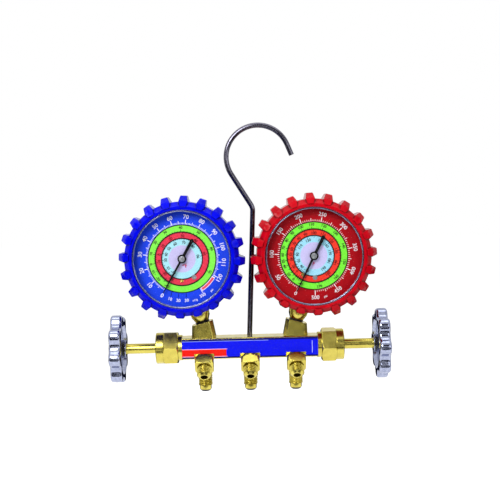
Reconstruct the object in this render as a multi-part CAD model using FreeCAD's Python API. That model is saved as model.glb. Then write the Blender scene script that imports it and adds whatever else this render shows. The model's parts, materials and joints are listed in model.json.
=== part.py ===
import FreeCAD, Part
import math
import os

# A two-valve refrigerant manifold gauge, in millimetres.
# The pieces are drawn about the centre of the brass bar: X runs along the bar towards the high
# side, Y runs from front to back and Z runs up. At the end everything is moved so that the
# origin is the seat inside the top of the hook, where the tool hangs.

Vector = FreeCAD.Vector
ORIGIN = Vector(0, 0, 0)
ALONG_X = Vector(1, 0, 0)
ALONG_Y = Vector(0, 1, 0)
ALONG_Z = Vector(0, 0, 1)
SIDES = {"low": -1, "high": 1}

# Clearances
running_clearance = 0.05
joint_clearance = 0.05
soft_clearance = 0.1
open_pivot_clearance = 0.3
end_clearance = 0.2

# Manifold bar
bar_length = 104.0
bar_depth = 19.0
bar_height = 16.0
bar_edge_chamfer = 0.5
shoulder_diameter = 19.7
shoulder_length = 3.0
neck_diameter = 17.0
neck_length = 9.0
centre_passage = 4.5
port_passage = 4.0
gauge_passage = 3.0

# Valves, measured outwards from the middle of the bar
seat_distance = 27.0
piston_bore = 11.0
piston_bore_end = 48.0
piston_tip_diameter = 7.0
piston_tip_length = 2.0
piston_waist_diameter = 6.0
piston_length = 17.0
piston_head_length = 5.0
ring_section = 1.8
stem_nose_diameter = 5.0
stem_nose_length = 3.0
stem_diameter = 7.8
stem_thread_diameter = 12.0
stem_thread_start = 49.0
valve_travel = 3.0
packing_length = 5.0
packing_diameter = 14.0
bonnet_hex_length = 11.3
bonnet_flats = 23.2
bonnet_collar_length = 5.7
bonnet_collar_diameter = 23.8
bonnet_turn = 95.5

# Hand wheels
wheel_inner_face = 97.0
wheel_width = 9.0
wheel_diameter = 54.0
wheel_lobes = 8
lobe_radius = 6.0
valley_radius = 6.0
wheel_edge_radius = 2.2
wheel_recess_depth = 2.6
wheel_rim_width = 8.5
wheel_hub_diameter = 14.0
wheel_hub_length = 2.0
wheel_square = 6.4
wheel_screw_diameter = 4.0
wheel_screw_depth = 8.0
wheel_screw_head = 9.5
wheel_screw_head_length = 2.6
wheel_turns = {"low": -11.4, "high": 0.5}

# Hose fittings
port_spacing = 35.0
port_shank = 14.2
port_shank_length = 8.1
port_shank_corner = 1.0
port_relief_diameter = 9.2
port_relief_length = 0.8
port_thread_diameter = 11.1
port_thread_length = 5.4
port_nose_length = 2.0
port_bore = 5.5
port_spigot_diameter = 8.0
port_spigot_length = 5.0

# Parking stubs behind the hose fittings
anchor_setback = 3.6
anchor_flange_diameter = 11.4
anchor_flange_length = 6.0
anchor_groove_length = 6.0
anchor_ring_diameter = 9.2
anchor_thread_length = 9.7
anchor_ring_length = 3.3
anchor_cone_length = 1.5
anchor_spigot_diameter = 6.0
anchor_spigot_length = 1.8

# Label foil on the front of the bar
label_thickness = 0.3
label_end_margin = 0.2
label_edge_margin = 0.7
label_notch_margin = 0.6
label_notch_height = 3.5

# Gauge stands: each gauge leans outwards from its boss on the bar
gauge_lean = 15.0
boss_inset = 21.2
boss_height = 19.9
boss_lean = 4.7
boss_top_width = 16.0
boss_base_width = 18.5
boss_top_depth = 14.0
boss_base_depth = 16.0
boss_corner = 2.4
gauge_rise = 72.0
neck_thread_diameter = 10.3
neck_thread_length = 9.0
neck_thread_showing = 1.3

# Gauge case, bezel and lens; depths are measured backwards from the plane of the stem
case_radius = 40.0
case_wall = 1.0
case_front = 22.0
case_back = 10.5
gasket_thickness = 0.6
gasket_inner_radius = 36.8
lens_radius = 39.2
lens_thickness = 1.8
bezel_inner_radius = 35.3
bezel_bead_radius = 0.8
bezel_flange = 1.0
dial_depth = 17.0
dial_thickness = 0.6
dial_radius = 38.6
dial_hole_radius = 2.0
dial_screw_radius = 16.4
dial_screw_angle = 17.0
dial_screw_head_diameter = 3.6
dial_screw_head_length = 0.7
dial_screw_diameter = 1.4

# Rubber boot
boot_lip_radius = 36.9
boot_lip_thickness = 1.4
boot_outer_radius = 43.0
boot_crown_radius = 39.4
boot_slope_depth = 22.0
boot_back = 12.5
boot_back_radius = 41.5
boot_back_lip_radius = 33.0
lug_count = 20
lug_tip_radius = 47.4
short_lug_radius = 45.0
lug_base_half_width = 4.9
lug_tip_half_width = 2.7
lug_front_half_width = 2.3
lug_shoulder_radius = 45.1
lug_shoulder_depth = 21.5
lug_crest_depth = 17.0
lug_tail_depth = 5.0
lug_end_depth = 3.0
boot_notch_margin = 0.6
short_lugs = (9, 10, 11)

# Socket and Bourdon tube
socket_square = 14.0
socket_foot_radius = 5.3
socket_taper_length = 9.2
socket_head_width = 12.0
socket_shoulder = 38.0
socket_head_top = 24.0
tube_radius = 28.5
tube_thickness = 3.0
tube_width = 10.0
tube_wall = 0.4
tube_root_angle = 189.0
tube_arc = 291.0
tube_pocket_arc = 30.0
tip_length = 4.0
tip_width = 5.0

# Geared movement
gear_module = 0.4
pinion_teeth = 12
sector_full_teeth = 96
sector_cut_teeth = 15
sector_start_angle = -8.0
tooth_height = 0.86
tooth_addendum = 0.36
tooth_pitch_width = 0.44
tooth_tip_width = 0.2
arbor_diameter = 1.6
plate_thickness = 1.0
plate_gap = 5.7
plate_half_width = 13.0
plate_top = 11.0
plate_bottom = 34.0
sector_thickness = 1.2
sector_hub_radius = 2.6
sector_rim_width = 2.4
sector_tail_length = 5.8
sector_tail_angle = 165.0
sector_inset = 2.8
link_thickness = 0.8
link_width = 1.6
link_eye_radius = 1.5
link_pin_diameter = 1.2
pinion_face = 2.2
collet_radius = 1.4
spring_turns = 3
spring_outer_radius = 6.0
spring_strip = 0.2
spring_width = 0.8
pillar_diameter = 3.0
pillar_places = ((-9.0, -28.5), (9.5, -31.5), (0.0, 8.5))

# Pointers
pointer_hub_radius = 3.3
pointer_cap_radius = 2.1
pointer_cap_height = 0.7
pointer_thickness = 0.6
pointer_height_over_dial = 2.2
pointer_reach = 29.2
pointer_tip_width = 0.7
pointer_root_width = 1.9
pointer_tail = 17.2
pointer_tail_width = 2.6
zero_angles = {"low": 225.0, "high": 192.0}

# Hanging hook
hook_diameter = 4.0
hook_setback = 6.0
hook_lean = 2.7
hook_rise = 98.7
hook_bend_radius = 9.0
loop_radius = 24.4
loop_offset = 3.0
loop_rise = 38.9
loop_end_angle = 65.0
hook_tip_length = 9.0
hook_hole_depth = 12.0
hook_groove_depth = 0.7
hook_groove_width = 2.2
set_screw_diameter = 4.0
set_screw_dog_diameter = 1.8

# Sizes that follow from the ones above
bar_end = bar_length / 2
boss_offset = bar_end - boss_inset
shoulder_end = bar_end + shoulder_length
neck_end = shoulder_end + neck_length
bonnet_hex_end = shoulder_end + bonnet_hex_length
bonnet_end = bonnet_hex_end + bonnet_collar_length
stem_start = seat_distance + piston_length
stem_thread_end = neck_end - valve_travel - end_clearance
neck_hole_depth = neck_thread_length + end_clearance
port_shoulder = (bar_depth / 2 + bar_height / 2 - bar_edge_chamfer) / math.sqrt(2)
port_shank_end = port_shoulder + port_shank_length
port_thread_start = port_shank_end + port_relief_length
port_thread_end = port_thread_start + port_thread_length
port_end = port_thread_end + port_nose_length
socket_foot = boss_height - gauge_rise + neck_thread_showing
gasket_front = case_front + gasket_thickness
lens_front = gasket_front + lens_thickness
bezel_front = lens_front + bezel_flange
boot_front = bezel_front + soft_clearance + boot_lip_thickness
socket_face = socket_square / 2
rear_plate_front = socket_face + plate_thickness
front_plate_back = rear_plate_front + plate_gap
front_plate_front = front_plate_back + plate_thickness
sector_back = front_plate_back - sector_inset
link_front = sector_back - end_clearance
link_back = link_front - link_thickness
pinion_radius = gear_module * pinion_teeth / 2
sector_radius = pinion_radius * sector_full_teeth / pinion_teeth
sector_pivot_drop = pinion_radius + sector_radius
pointer_back = dial_depth + pointer_height_over_dial
pointer_front = pointer_back + pointer_thickness


def polygon_face(points):
    return Part.Face(Part.makePolygon(points + [points[0]]))


def turned_about_x(profile):
    """A turned piece; the profile lists (distance along X, radius)."""
    points = [Vector(along, 0, radius) for along, radius in profile]
    return polygon_face(points).revolve(ORIGIN, ALONG_X, 360)


def turned_about_y(profile):
    """A turned piece about the gauge's axis; the profile lists (depth in front, radius)."""
    points = [Vector(0, -depth, radius) for depth, radius in profile]
    return polygon_face(points).revolve(ORIGIN, ALONG_Y, 360)


def turned_about_z(profile):
    """A turned piece; the profile lists (height, radius)."""
    points = [Vector(radius, 0, height) for height, radius in profile]
    return polygon_face(points).revolve(ORIGIN, ALONG_Z, 360)


def rod(diameter, start, end):
    line = end - start
    return Part.makeCylinder(diameter / 2, line.Length, start, line)


def disc(radius, back, front, across=0.0, up=0.0):
    """A disc that faces the front, between two depths in front of the stem plane."""
    return Part.makeCylinder(radius, front - back, Vector(across, -back, up), -ALONG_Y)


def ring(outer, inner, back, front):
    return disc(outer, back, front).cut(disc(inner, back - 1, front + 1))


def slab(half_width, bottom, top, back, front):
    corner = Vector(-half_width, -front, bottom)
    return Part.makeBox(2 * half_width, front - back, top - bottom, corner)


def hexagon(flats, height, turn):
    """A level hexagon of given width over flats, its first corner turned that far from X."""
    radius = flats / math.sqrt(3)
    points = []
    for corner in range(6):
        angle = math.radians(60 * corner + turn)
        points.append(Vector(radius * math.cos(angle), radius * math.sin(angle), height))
    return Part.makePolygon(points + [points[0]])


def turned(shape, angle):
    """The shape turned clockwise, seen from the front, about the gauge's axis."""
    copy = shape.copy()
    copy.rotate(ORIGIN, ALONG_Y, angle)
    return copy


def on_side(shape, side):
    """A valve piece drawn on the high side, turned round for the low side."""
    copy = shape.copy()
    if side == "low":
        copy.rotate(ORIGIN, ALONG_Z, 180)
    return copy


def gauge_centre(side):
    lean = math.radians(gauge_lean)
    across = boss_offset + gauge_rise * math.sin(lean)
    return Vector(SIDES[side] * across, 0, gauge_rise * math.cos(lean))


def on_stand(shape, side):
    """A gauge piece drawn about the dial's centre, leant and lifted to its place."""
    copy = shape.copy()
    copy.rotate(ORIGIN, ALONG_Y, SIDES[side] * gauge_lean)
    copy.translate(gauge_centre(side))
    return copy


def boss_axis_shape(shape, side):
    """A shape drawn upright about Z, leant about its crossing with the bar's axis."""
    copy = shape.copy()
    copy.rotate(ORIGIN, ALONG_Y, SIDES[side] * gauge_lean)
    copy.translate(Vector(SIDES[side] * boss_offset, 0, 0))
    return copy


# Manifold bar

def boss_section(top, height):
    """The boss's oblong with cut corners at a level, given the middle of its top."""
    share = (height - bar_height / 2) / (top.z - bar_height / 2)
    half_width = (boss_base_width + (boss_top_width - boss_base_width) * share) / 2
    half_depth = (boss_base_depth + (boss_top_depth - boss_base_depth) * share) / 2
    middle = top.x - (top.z - height) * math.tan(math.radians(boss_lean))
    points = []
    for right, back in ((1, -1), (1, 1), (-1, 1), (-1, -1)):
        across = Vector(middle + right * (half_width - boss_corner), back * half_depth, height)
        along = Vector(middle + right * half_width, back * (half_depth - boss_corner), height)
        points.extend([across, along] if right * back < 0 else [along, across])
    return Part.makePolygon(points + [points[0]])


def boss():
    """The tapered block that carries a gauge, its top square to the stem, on the high side."""
    lean = math.radians(gauge_lean)
    top = Vector(math.sin(lean), 0, math.cos(lean)) * boss_height + ALONG_X * boss_offset
    overrun = top.z + boss_top_width / 2
    block = Part.makeLoft([boss_section(top, piston_bore / 2), boss_section(top, overrun)], True, True)
    above = Part.makeBox(2 * bar_height, 2 * bar_depth, bar_height, Vector(-bar_height, -bar_depth, 0))
    above.rotate(ORIGIN, ALONG_Y, gauge_lean)
    return block.cut(above.translated(top))


def valve_bore():
    """The stepped bore of one valve, open at the end of the bar."""
    thread_radius = stem_thread_diameter / 2 + running_clearance
    profile = [
        (seat_distance, 0),
        (seat_distance, piston_bore / 2),
        (piston_bore_end, piston_bore / 2),
        (piston_bore_end, thread_radius),
        (neck_end + 1, thread_radius),
        (neck_end + 1, 0),
    ]
    return turned_about_x(profile)


def port_direction():
    return Vector(0, -1, -1).normalize()


def port_places():
    return {"low": -port_spacing, "centre": 0.0, "high": port_spacing}


def bar_blank():
    corner = Vector(-bar_end, -bar_depth / 2, -bar_height / 2)
    block = Part.makeBox(bar_length, bar_depth, bar_height, corner)
    long_edges = [e for e in block.Edges if abs(e.Length - bar_length) < 0.001]
    return block.makeChamfer(bar_edge_chamfer, long_edges)


def manifold_bar():
    body = bar_blank()
    pieces = []
    for side, sign in SIDES.items():
        pieces.append(on_side(rod(shoulder_diameter, ALONG_X * bar_end, ALONG_X * shoulder_end), side))
        pieces.append(on_side(rod(neck_diameter, ALONG_X * shoulder_end, ALONG_X * neck_end), side))
        pieces.append(on_side(boss(), side))
    body = body.fuse(pieces).removeSplitter()
    cuts = [rod(centre_passage, ALONG_X * -seat_distance, ALONG_X * seat_distance)]
    for side in SIDES:
        cuts.append(on_side(valve_bore(), side))
        top = ALONG_Z * boss_height
        thread_hole = rod(neck_thread_diameter + 2 * joint_clearance, top, top - ALONG_Z * neck_hole_depth)
        passage = rod(gauge_passage, top, ORIGIN)
        cuts.append(boss_axis_shape(thread_hole, side))
        cuts.append(boss_axis_shape(passage, side))
    down = port_direction()
    spigot_floor = port_shoulder - port_spigot_length - end_clearance
    for place in port_places().values():
        base = Vector(place, 0, 0)
        cuts.append(rod(port_spigot_diameter + 2 * joint_clearance, base + down * spigot_floor,
                        base + down * (port_shoulder + 1)))
        cuts.append(rod(port_passage, base, base + down * port_shoulder))
        foot = Vector(place, anchor_setback, -bar_height / 2)
        cuts.append(rod(anchor_spigot_diameter + 2 * joint_clearance, foot,
                        foot + ALONG_Z * (anchor_spigot_length + end_clearance)))
    hook_foot = Vector(0, hook_setback, bar_height / 2)
    hole = rod(hook_diameter + 2 * running_clearance, hook_foot + ALONG_Z * 3,
               hook_foot - ALONG_Z * hook_hole_depth)
    cuts.append(leant_hook(hole))
    cuts.append(set_screw_blank(joint_clearance, 1.0))
    return body.cut(cuts)


def label_panel():
    half = bar_end - label_end_margin
    bottom = label_edge_margin - bar_height / 2
    plate = slab(half, bottom, -bottom, bar_depth / 2, bar_depth / 2 + label_thickness)
    half_notch = port_shank / 2 + label_notch_margin
    notches = []
    for place in port_places().values():
        notch = slab(half_notch, bottom - 1, bottom + label_notch_height, bar_depth / 2 - 1, bar_depth / 2 + 1)
        notches.append(notch.translated(Vector(place, 0, 0)))
    return plate.cut(notches)


# Hose fittings

def square_shank():
    """The square shank along Z, its rear corners turned back to a round."""
    half = port_shank / 2
    blank = Part.makeBox(port_shank, port_shank, port_shank_length, Vector(-half, -half, port_shoulder))
    upright = [e for e in blank.Edges if abs(e.Length - port_shank_length) < 0.001]
    blank = blank.makeChamfer(port_shank_corner, upright)
    turned_back = [
        (port_shoulder, 0),
        (port_shoulder, half),
        (port_shoulder + half * 0.4, half * 1.4),
        (port_shank_end - half * 0.2, half * 1.4),
        (port_shank_end, half * 1.05),
        (port_shank_end, 0),
    ]
    return blank.common(turned_about_z(turned_back))


def hose_port(place):
    """A square-shank 45 degree fitting with a male flare end, pointing forwards and down."""
    thread_radius = port_thread_diameter / 2
    relief_radius = port_relief_diameter / 2
    flare_profile = [
        (port_shank_end - 1, 0),
        (port_shank_end - 1, relief_radius),
        (port_thread_start, relief_radius),
        (port_thread_start, thread_radius),
        (port_thread_end, thread_radius),
        (port_end, thread_radius - port_nose_length),
        (port_end, 0),
    ]
    spigot_start = port_shoulder - port_spigot_length
    spigot = rod(port_spigot_diameter, ALONG_Z * spigot_start, ALONG_Z * (port_shoulder + 1))
    body = square_shank().fuse([turned_about_z(flare_profile), spigot]).removeSplitter()
    body = body.cut(rod(port_bore, ALONG_Z * (spigot_start - 1), ALONG_Z * (port_end + 1)))
    body.rotate(ORIGIN, ALONG_X, 135)
    body.translate(Vector(place, 0, 0))
    return body


def hose_anchor(place):
    """A blank flare stub that stands straight down under the bar."""
    top = -bar_height / 2
    flange_end = top - anchor_flange_length
    groove_end = flange_end - anchor_groove_length
    thread_end = groove_end - anchor_thread_length
    ring_end = thread_end - anchor_ring_length
    cone_end = ring_end - anchor_cone_length
    ring_radius = anchor_ring_diameter / 2
    profile = [
        (top + anchor_spigot_length, 0),
        (top + anchor_spigot_length, anchor_spigot_diameter / 2),
        (top, anchor_spigot_diameter / 2),
        (top, anchor_flange_diameter / 2),
        (flange_end, anchor_flange_diameter / 2),
        (flange_end, ring_radius),
        (groove_end, ring_radius),
        (groove_end, port_thread_diameter / 2),
        (thread_end, port_thread_diameter / 2),
        (thread_end, ring_radius),
        (ring_end, ring_radius),
        (cone_end, ring_radius - anchor_cone_length),
        (cone_end, 0),
    ]
    return turned_about_z(profile).translated(Vector(place, anchor_setback, 0))


# Valves, drawn on the high side

def bonnet():
    """The nut that holds the packing: a chamfered hexagon and a round collar."""
    corner_radius = bonnet_flats / math.sqrt(3)
    blank = Part.Face(hexagon(bonnet_flats, 0, bonnet_turn)).extrude(ALONG_Z * bonnet_hex_length)
    blank.rotate(ORIGIN, ALONG_Y, 90)
    blank.translate(ALONG_X * shoulder_end)
    corner = (corner_radius - bonnet_flats / 2) / math.sqrt(3)
    chamfered = [
        (shoulder_end, 0),
        (shoulder_end, bonnet_flats / 2),
        (shoulder_end + corner, corner_radius),
        (bonnet_hex_end - corner, corner_radius),
        (bonnet_hex_end, bonnet_flats / 2),
        (bonnet_hex_end, 0),
    ]
    hexagonal = blank.common(turned_about_x(chamfered))
    collar_radius = bonnet_collar_diameter / 2
    collar_profile = [
        (bonnet_hex_end - 1, 0),
        (bonnet_hex_end - 1, collar_radius - 0.6),
        (bonnet_hex_end, collar_radius - 0.6),
        (bonnet_hex_end, collar_radius),
        (bonnet_end - 0.5, collar_radius),
        (bonnet_end, collar_radius - 0.5),
        (bonnet_end, 0),
    ]
    neck_radius = neck_diameter / 2 + joint_clearance
    packing_end = neck_end + packing_length
    bore_profile = [
        (shoulder_end - 1, 0),
        (shoulder_end - 1, neck_radius),
        (neck_end, neck_radius),
        (neck_end, packing_diameter / 2 + joint_clearance),
        (packing_end, packing_diameter / 2 + joint_clearance),
        (packing_end, stem_diameter / 2 + running_clearance),
        (bonnet_end + 1, stem_diameter / 2 + running_clearance),
        (bonnet_end + 1, 0),
    ]
    return hexagonal.fuse(turned_about_x(collar_profile)).cut(turned_about_x(bore_profile))


def packing():
    inner = stem_diameter / 2 + running_clearance
    profile = [
        (neck_end, inner),
        (neck_end, packing_diameter / 2),
        (neck_end + packing_length, packing_diameter / 2),
        (neck_end + packing_length, inner),
    ]
    return turned_about_x(profile)


def piston():
    """The seat plug that slides in the bore, with the groove for its ring."""
    head_start = stem_start - piston_head_length
    head_radius = piston_bore / 2 - running_clearance
    groove_middle = head_start + piston_head_length / 2
    groove_radius = head_radius - ring_section + running_clearance
    tip_end = seat_distance + piston_tip_length
    nose_radius = stem_nose_diameter / 2 + running_clearance
    socket_start = stem_start - stem_nose_length - end_clearance
    profile = [
        (seat_distance, 0),
        (seat_distance, piston_tip_diameter / 2),
        (tip_end, piston_tip_diameter / 2),
        (tip_end, piston_waist_diameter / 2),
        (head_start, piston_waist_diameter / 2),
        (head_start, head_radius),
        (groove_middle - ring_section / 2, head_radius),
        (groove_middle - ring_section / 2, groove_radius),
        (groove_middle + ring_section / 2, groove_radius),
        (groove_middle + ring_section / 2, head_radius),
        (stem_start, head_radius),
        (stem_start, nose_radius),
        (socket_start, nose_radius),
        (socket_start, 0),
    ]
    return turned_about_x(profile)


def piston_ring():
    """The rubber ring in the piston's groove."""
    middle = stem_start - piston_head_length / 2
    radius = (ring_section - running_clearance) / 2
    ring_radius = piston_bore / 2 - running_clearance - radius
    ring_shape = Part.makeTorus(ring_radius, radius, ALONG_X * middle, ALONG_X)
    return ring_shape


def valve_stem():
    """The stem: swivel nose, screw thread, plain shank and square end with a tapped hole."""
    thread_end = stem_thread_end
    radius = stem_diameter / 2
    thread_radius = stem_thread_diameter / 2
    hole_radius = wheel_screw_diameter / 2 + joint_clearance
    square_end = wheel_inner_face + wheel_width - end_clearance
    profile = [
        (stem_start - stem_nose_length, 0),
        (stem_start - stem_nose_length, stem_nose_diameter / 2),
        (stem_start + end_clearance, stem_nose_diameter / 2),
        (stem_start + end_clearance, radius),
        (stem_thread_start, radius),
        (stem_thread_start, thread_radius),
        (thread_end, thread_radius),
        (thread_end, radius),
        (wheel_inner_face - wheel_hub_length, radius),
        (wheel_inner_face - wheel_hub_length, 0),
    ]
    half = wheel_square / 2
    square = Part.makeBox(square_end - wheel_inner_face + wheel_hub_length + 1, wheel_square, wheel_square,
                          Vector(wheel_inner_face - wheel_hub_length - 1, -half, -half))
    body = turned_about_x(profile).fuse(square)
    hole_start = square_end - wheel_screw_depth - end_clearance
    return body.cut(rod(2 * hole_radius, ALONG_X * hole_start, ALONG_X * (square_end + 1)))


def at_angle(radius, degrees):
    angle = math.radians(degrees)
    return Vector(0, radius * math.cos(angle), radius * math.sin(angle))


def wheel_outline():
    """Round lobes joined by tangent hollows, in the plane across the stem."""
    half_step = 180 / wheel_lobes
    lobe_centre = wheel_diameter / 2 - lobe_radius
    reach = lobe_radius + valley_radius
    along = lobe_centre * math.cos(math.radians(half_step))
    beside = lobe_centre * math.sin(math.radians(half_step))
    valley_centre = along + math.sqrt(reach ** 2 - beside ** 2)
    edges = []
    for lobe in range(wheel_lobes):
        middle = 2 * half_step * lobe
        here = at_angle(lobe_centre, middle)
        before = at_angle(valley_centre, middle - half_step)
        after = at_angle(valley_centre, middle + half_step)
        following = at_angle(lobe_centre, middle + 2 * half_step)
        first = here + (before - here) * (lobe_radius / reach)
        last = here + (after - here) * (lobe_radius / reach)
        restart = following + (after - following) * (lobe_radius / reach)
        tip = at_angle(wheel_diameter / 2, middle)
        floor = at_angle(valley_centre - valley_radius, middle + half_step)
        edges.append(Part.Arc(first, tip, last).toShape())
        edges.append(Part.Arc(last, floor, restart).toShape())
    return Part.Face(Part.Wire(edges))


def hand_wheel():
    """The cast wheel: lobed rim, dished faces, hub and square hole."""
    outer_face = wheel_inner_face + wheel_width
    body = wheel_outline().extrude(ALONG_X * wheel_width).translated(ALONG_X * wheel_inner_face)
    rim_edges = []
    for edge in body.Edges:
        box = edge.BoundBox
        if box.XMax - box.XMin < 0.001:
            rim_edges.append(edge)
    body = body.makeFillet(wheel_edge_radius, rim_edges)
    hub_radius = wheel_hub_diameter / 2
    dish_radius = wheel_diameter / 2 - wheel_rim_width
    inner_hub = rod(wheel_hub_diameter, ALONG_X * (wheel_inner_face - wheel_hub_length),
                    ALONG_X * (wheel_inner_face + wheel_width / 2))
    for face, sign in ((wheel_inner_face, 1), (outer_face, -1)):
        floor = face + sign * wheel_recess_depth
        dish = [
            (face - sign, hub_radius),
            (face - sign, dish_radius + 1),
            (face, dish_radius + 1),
            (floor, dish_radius - 1),
            (floor, hub_radius),
        ]
        body = body.cut(turned_about_x(dish))
    body = body.fuse(inner_hub)
    hole = wheel_square + 2 * joint_clearance
    square = Part.makeBox(wheel_width * 2, hole, hole,
                          Vector(wheel_inner_face - wheel_hub_length, -hole / 2, -hole / 2))
    stem_room = rod(stem_diameter + 2 * joint_clearance,
                    ALONG_X * (wheel_inner_face - wheel_hub_length - 1),
                    ALONG_X * (wheel_inner_face - wheel_hub_length))
    return body.cut([square, stem_room])


def wheel_screw():
    face = wheel_inner_face + wheel_width
    head_radius = wheel_screw_head / 2
    square_end = face - end_clearance
    profile = [
        (square_end - wheel_screw_depth, 0),
        (square_end - wheel_screw_depth, wheel_screw_diameter / 2),
        (face, wheel_screw_diameter / 2),
        (face, head_radius),
        (face + wheel_screw_head_length / 2, head_radius),
        (face + wheel_screw_head_length, head_radius * 0.7),
        (face + wheel_screw_head_length, 0),
    ]
    return turned_about_x(profile)


# Gauge case and boot, drawn about the dial's centre

def case():
    """The steel cup that holds the works, open at the front, with a square hole for the socket."""
    inner = case_radius - case_wall
    profile = [
        (-case_back, 0),
        (-case_back, case_radius - 2),
        (2 - case_back, case_radius),
        (case_front, case_radius),
        (case_front, inner),
        (2 - case_back + case_wall, inner),
        (case_wall - case_back, inner - 2),
        (case_wall - case_back, 0),
    ]
    half = socket_square / 2 + joint_clearance
    hole = slab(half, -case_radius - 1, -socket_shoulder + case_wall, -half, half)
    return turned_about_y(profile).cut(hole)


def bezel():
    """The rolled ring over the lens, with a bead inside the boot's lip."""
    wall = lens_radius + joint_clearance
    bead_inner = bezel_inner_radius + 0.3
    bead_outer = boot_lip_radius - soft_clearance - 0.2
    profile = [
        (gasket_front, case_radius),
        (bezel_front, case_radius),
        (bezel_front, bead_outer),
        (bezel_front + bezel_bead_radius / 2, bead_outer - 0.15),
        (bezel_front + bezel_bead_radius, bead_outer - 0.5),
        (bezel_front + bezel_bead_radius, bead_inner + 0.3),
        (bezel_front + bezel_bead_radius / 2, bead_inner),
        (lens_front + end_clearance / 2, bezel_inner_radius),
        (lens_front, bezel_inner_radius),
        (lens_front, wall),
        (gasket_front, wall),
    ]
    return turned_about_y(profile)


def lens():
    return disc(lens_radius, gasket_front, lens_front)


def lens_gasket():
    return ring(case_radius, gasket_inner_radius, case_front, gasket_front)


def lug(limit):
    """One faceted lug at twelve o'clock: three prisms crossed with each other and a round limit."""
    root = boot_outer_radius - 3
    from_front = polygon_face([
        Vector(-lug_base_half_width, -boot_front - 1, root - 4),
        Vector(-lug_base_half_width, -boot_front - 1, boot_crown_radius),
        Vector(-lug_tip_half_width, -boot_front - 1, lug_tip_radius),
        Vector(lug_tip_half_width, -boot_front - 1, lug_tip_radius),
        Vector(lug_base_half_width, -boot_front - 1, boot_crown_radius),
        Vector(lug_base_half_width, -boot_front - 1, root - 4),
    ]).extrude(ALONG_Y * (boot_front + lug_end_depth + 2))
    wide = lug_base_half_width + 1
    from_side = polygon_face([
        Vector(-wide, 0.4 - boot_front, boot_crown_radius - 0.6),
        Vector(-wide, -lug_shoulder_depth, lug_shoulder_radius),
        Vector(-wide, -lug_crest_depth, lug_tip_radius),
        Vector(-wide, -lug_tail_depth, lug_tip_radius),
        Vector(-wide, lug_end_depth, boot_outer_radius - 0.5),
        Vector(-wide, lug_end_depth, root),
        Vector(-wide, 0.4 - boot_front, root - 4),
    ]).extrude(ALONG_X * 2 * wide)
    from_top = polygon_face([
        Vector(-lug_front_half_width, -boot_front, root - 4),
        Vector(-lug_base_half_width, -lug_crest_depth, root - 4),
        Vector(-lug_base_half_width, lug_end_depth + 1, root - 4),
        Vector(lug_base_half_width, lug_end_depth + 1, root - 4),
        Vector(lug_base_half_width, -lug_crest_depth, root - 4),
        Vector(lug_front_half_width, -boot_front, root - 4),
    ]).extrude(ALONG_Z * lug_tip_radius)
    return from_front.common(from_side).common(from_top).common(disc(limit, -boot_back, boot_front))


def boot():
    """The lugged rubber boot round the case, notched at the bottom for the socket."""
    outer = [
        (-boot_back, 0),
        (-boot_back, boot_back_radius),
        (2 - boot_back, boot_outer_radius),
        (boot_slope_depth, boot_outer_radius),
        (boot_front, boot_crown_radius),
        (boot_front, 0),
    ]
    body = turned_about_y(outer)
    lugs = []
    for place in range(lug_count):
        limit = short_lug_radius if place in short_lugs else lug_tip_radius + 1
        lugs.append(turned(lug(limit), 360 / lug_count * place))
    body = body.fuse(lugs).removeSplitter()
    pocket = disc(case_radius + soft_clearance, -case_back - soft_clearance, bezel_front + soft_clearance)
    front_opening = disc(boot_lip_radius, 0, boot_front + 1)
    back_opening = disc(boot_back_lip_radius, -boot_back - 1, 0)
    half = socket_square / 2 + boot_notch_margin
    notch = slab(half, -lug_tip_radius - 1, -case_radius + 3, -boot_back - 1, half)
    return body.cut([pocket, front_opening, back_opening, notch])


# Dial, pointer and works

def dial():
    plate = disc(dial_radius, dial_depth - dial_thickness, dial_depth)
    holes = [disc(dial_hole_radius, dial_depth - dial_thickness - 1, dial_depth + 1)]
    for across, up in dial_screw_places():
        hole_radius = dial_screw_diameter / 2 + joint_clearance
        holes.append(disc(hole_radius, dial_depth - dial_thickness - 1, dial_depth + 1, across, up))
    return plate.cut(holes)


def dial_screw_places():
    angle = math.radians(dial_screw_angle)
    across = dial_screw_radius * math.sin(angle)
    up = -dial_screw_radius * math.cos(angle)
    return ((-across, up), (across, up))


def dial_screws():
    """Two slotted screws, each a solid of its own."""
    screws = []
    for across, up in dial_screw_places():
        head = disc(dial_screw_head_diameter / 2, dial_depth, dial_depth + dial_screw_head_length, across, up)
        shank = disc(dial_screw_diameter / 2, front_plate_front + end_clearance, dial_depth + 0.1, across, up)
        slot = slab(dial_screw_head_diameter, -0.2, 0.2, dial_depth + dial_screw_head_length / 2,
                    dial_depth + dial_screw_head_length + 1)
        screws.append(head.fuse(shank).cut(slot.translated(Vector(across, 0, up))))
    return Part.makeCompound(screws)


def pointer(side):
    """A flat pointer with a round hub and a broad tail, set to the dial's zero."""
    blade = polygon_face([
        Vector(-pointer_root_width / 2, -pointer_back, 0),
        Vector(-pointer_tip_width / 2, -pointer_back, pointer_reach),
        Vector(pointer_tip_width / 2, -pointer_back, pointer_reach),
        Vector(pointer_root_width / 2, -pointer_back, 0),
        Vector(pointer_tail_width / 2, -pointer_back, -pointer_tail + 1),
        Vector(0, -pointer_back, -pointer_tail),
        Vector(-pointer_tail_width / 2, -pointer_back, -pointer_tail + 1),
    ]).extrude(-ALONG_Y * pointer_thickness)
    hub = disc(pointer_hub_radius, pointer_back, pointer_front)
    cap = disc(pointer_cap_radius, pointer_back, pointer_front + pointer_cap_height)
    boss_depth = pointer_back - pointer_height_over_dial / 2
    sleeve = disc(dial_hole_radius - 0.5, boss_depth, pointer_back)
    bore = disc(arbor_diameter / 2 + joint_clearance, boss_depth - 1, pointer_front + end_clearance)
    body = blade.fuse([hub, cap, sleeve]).removeSplitter().cut(bore)
    return turned(body, zero_angles[side])


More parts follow.
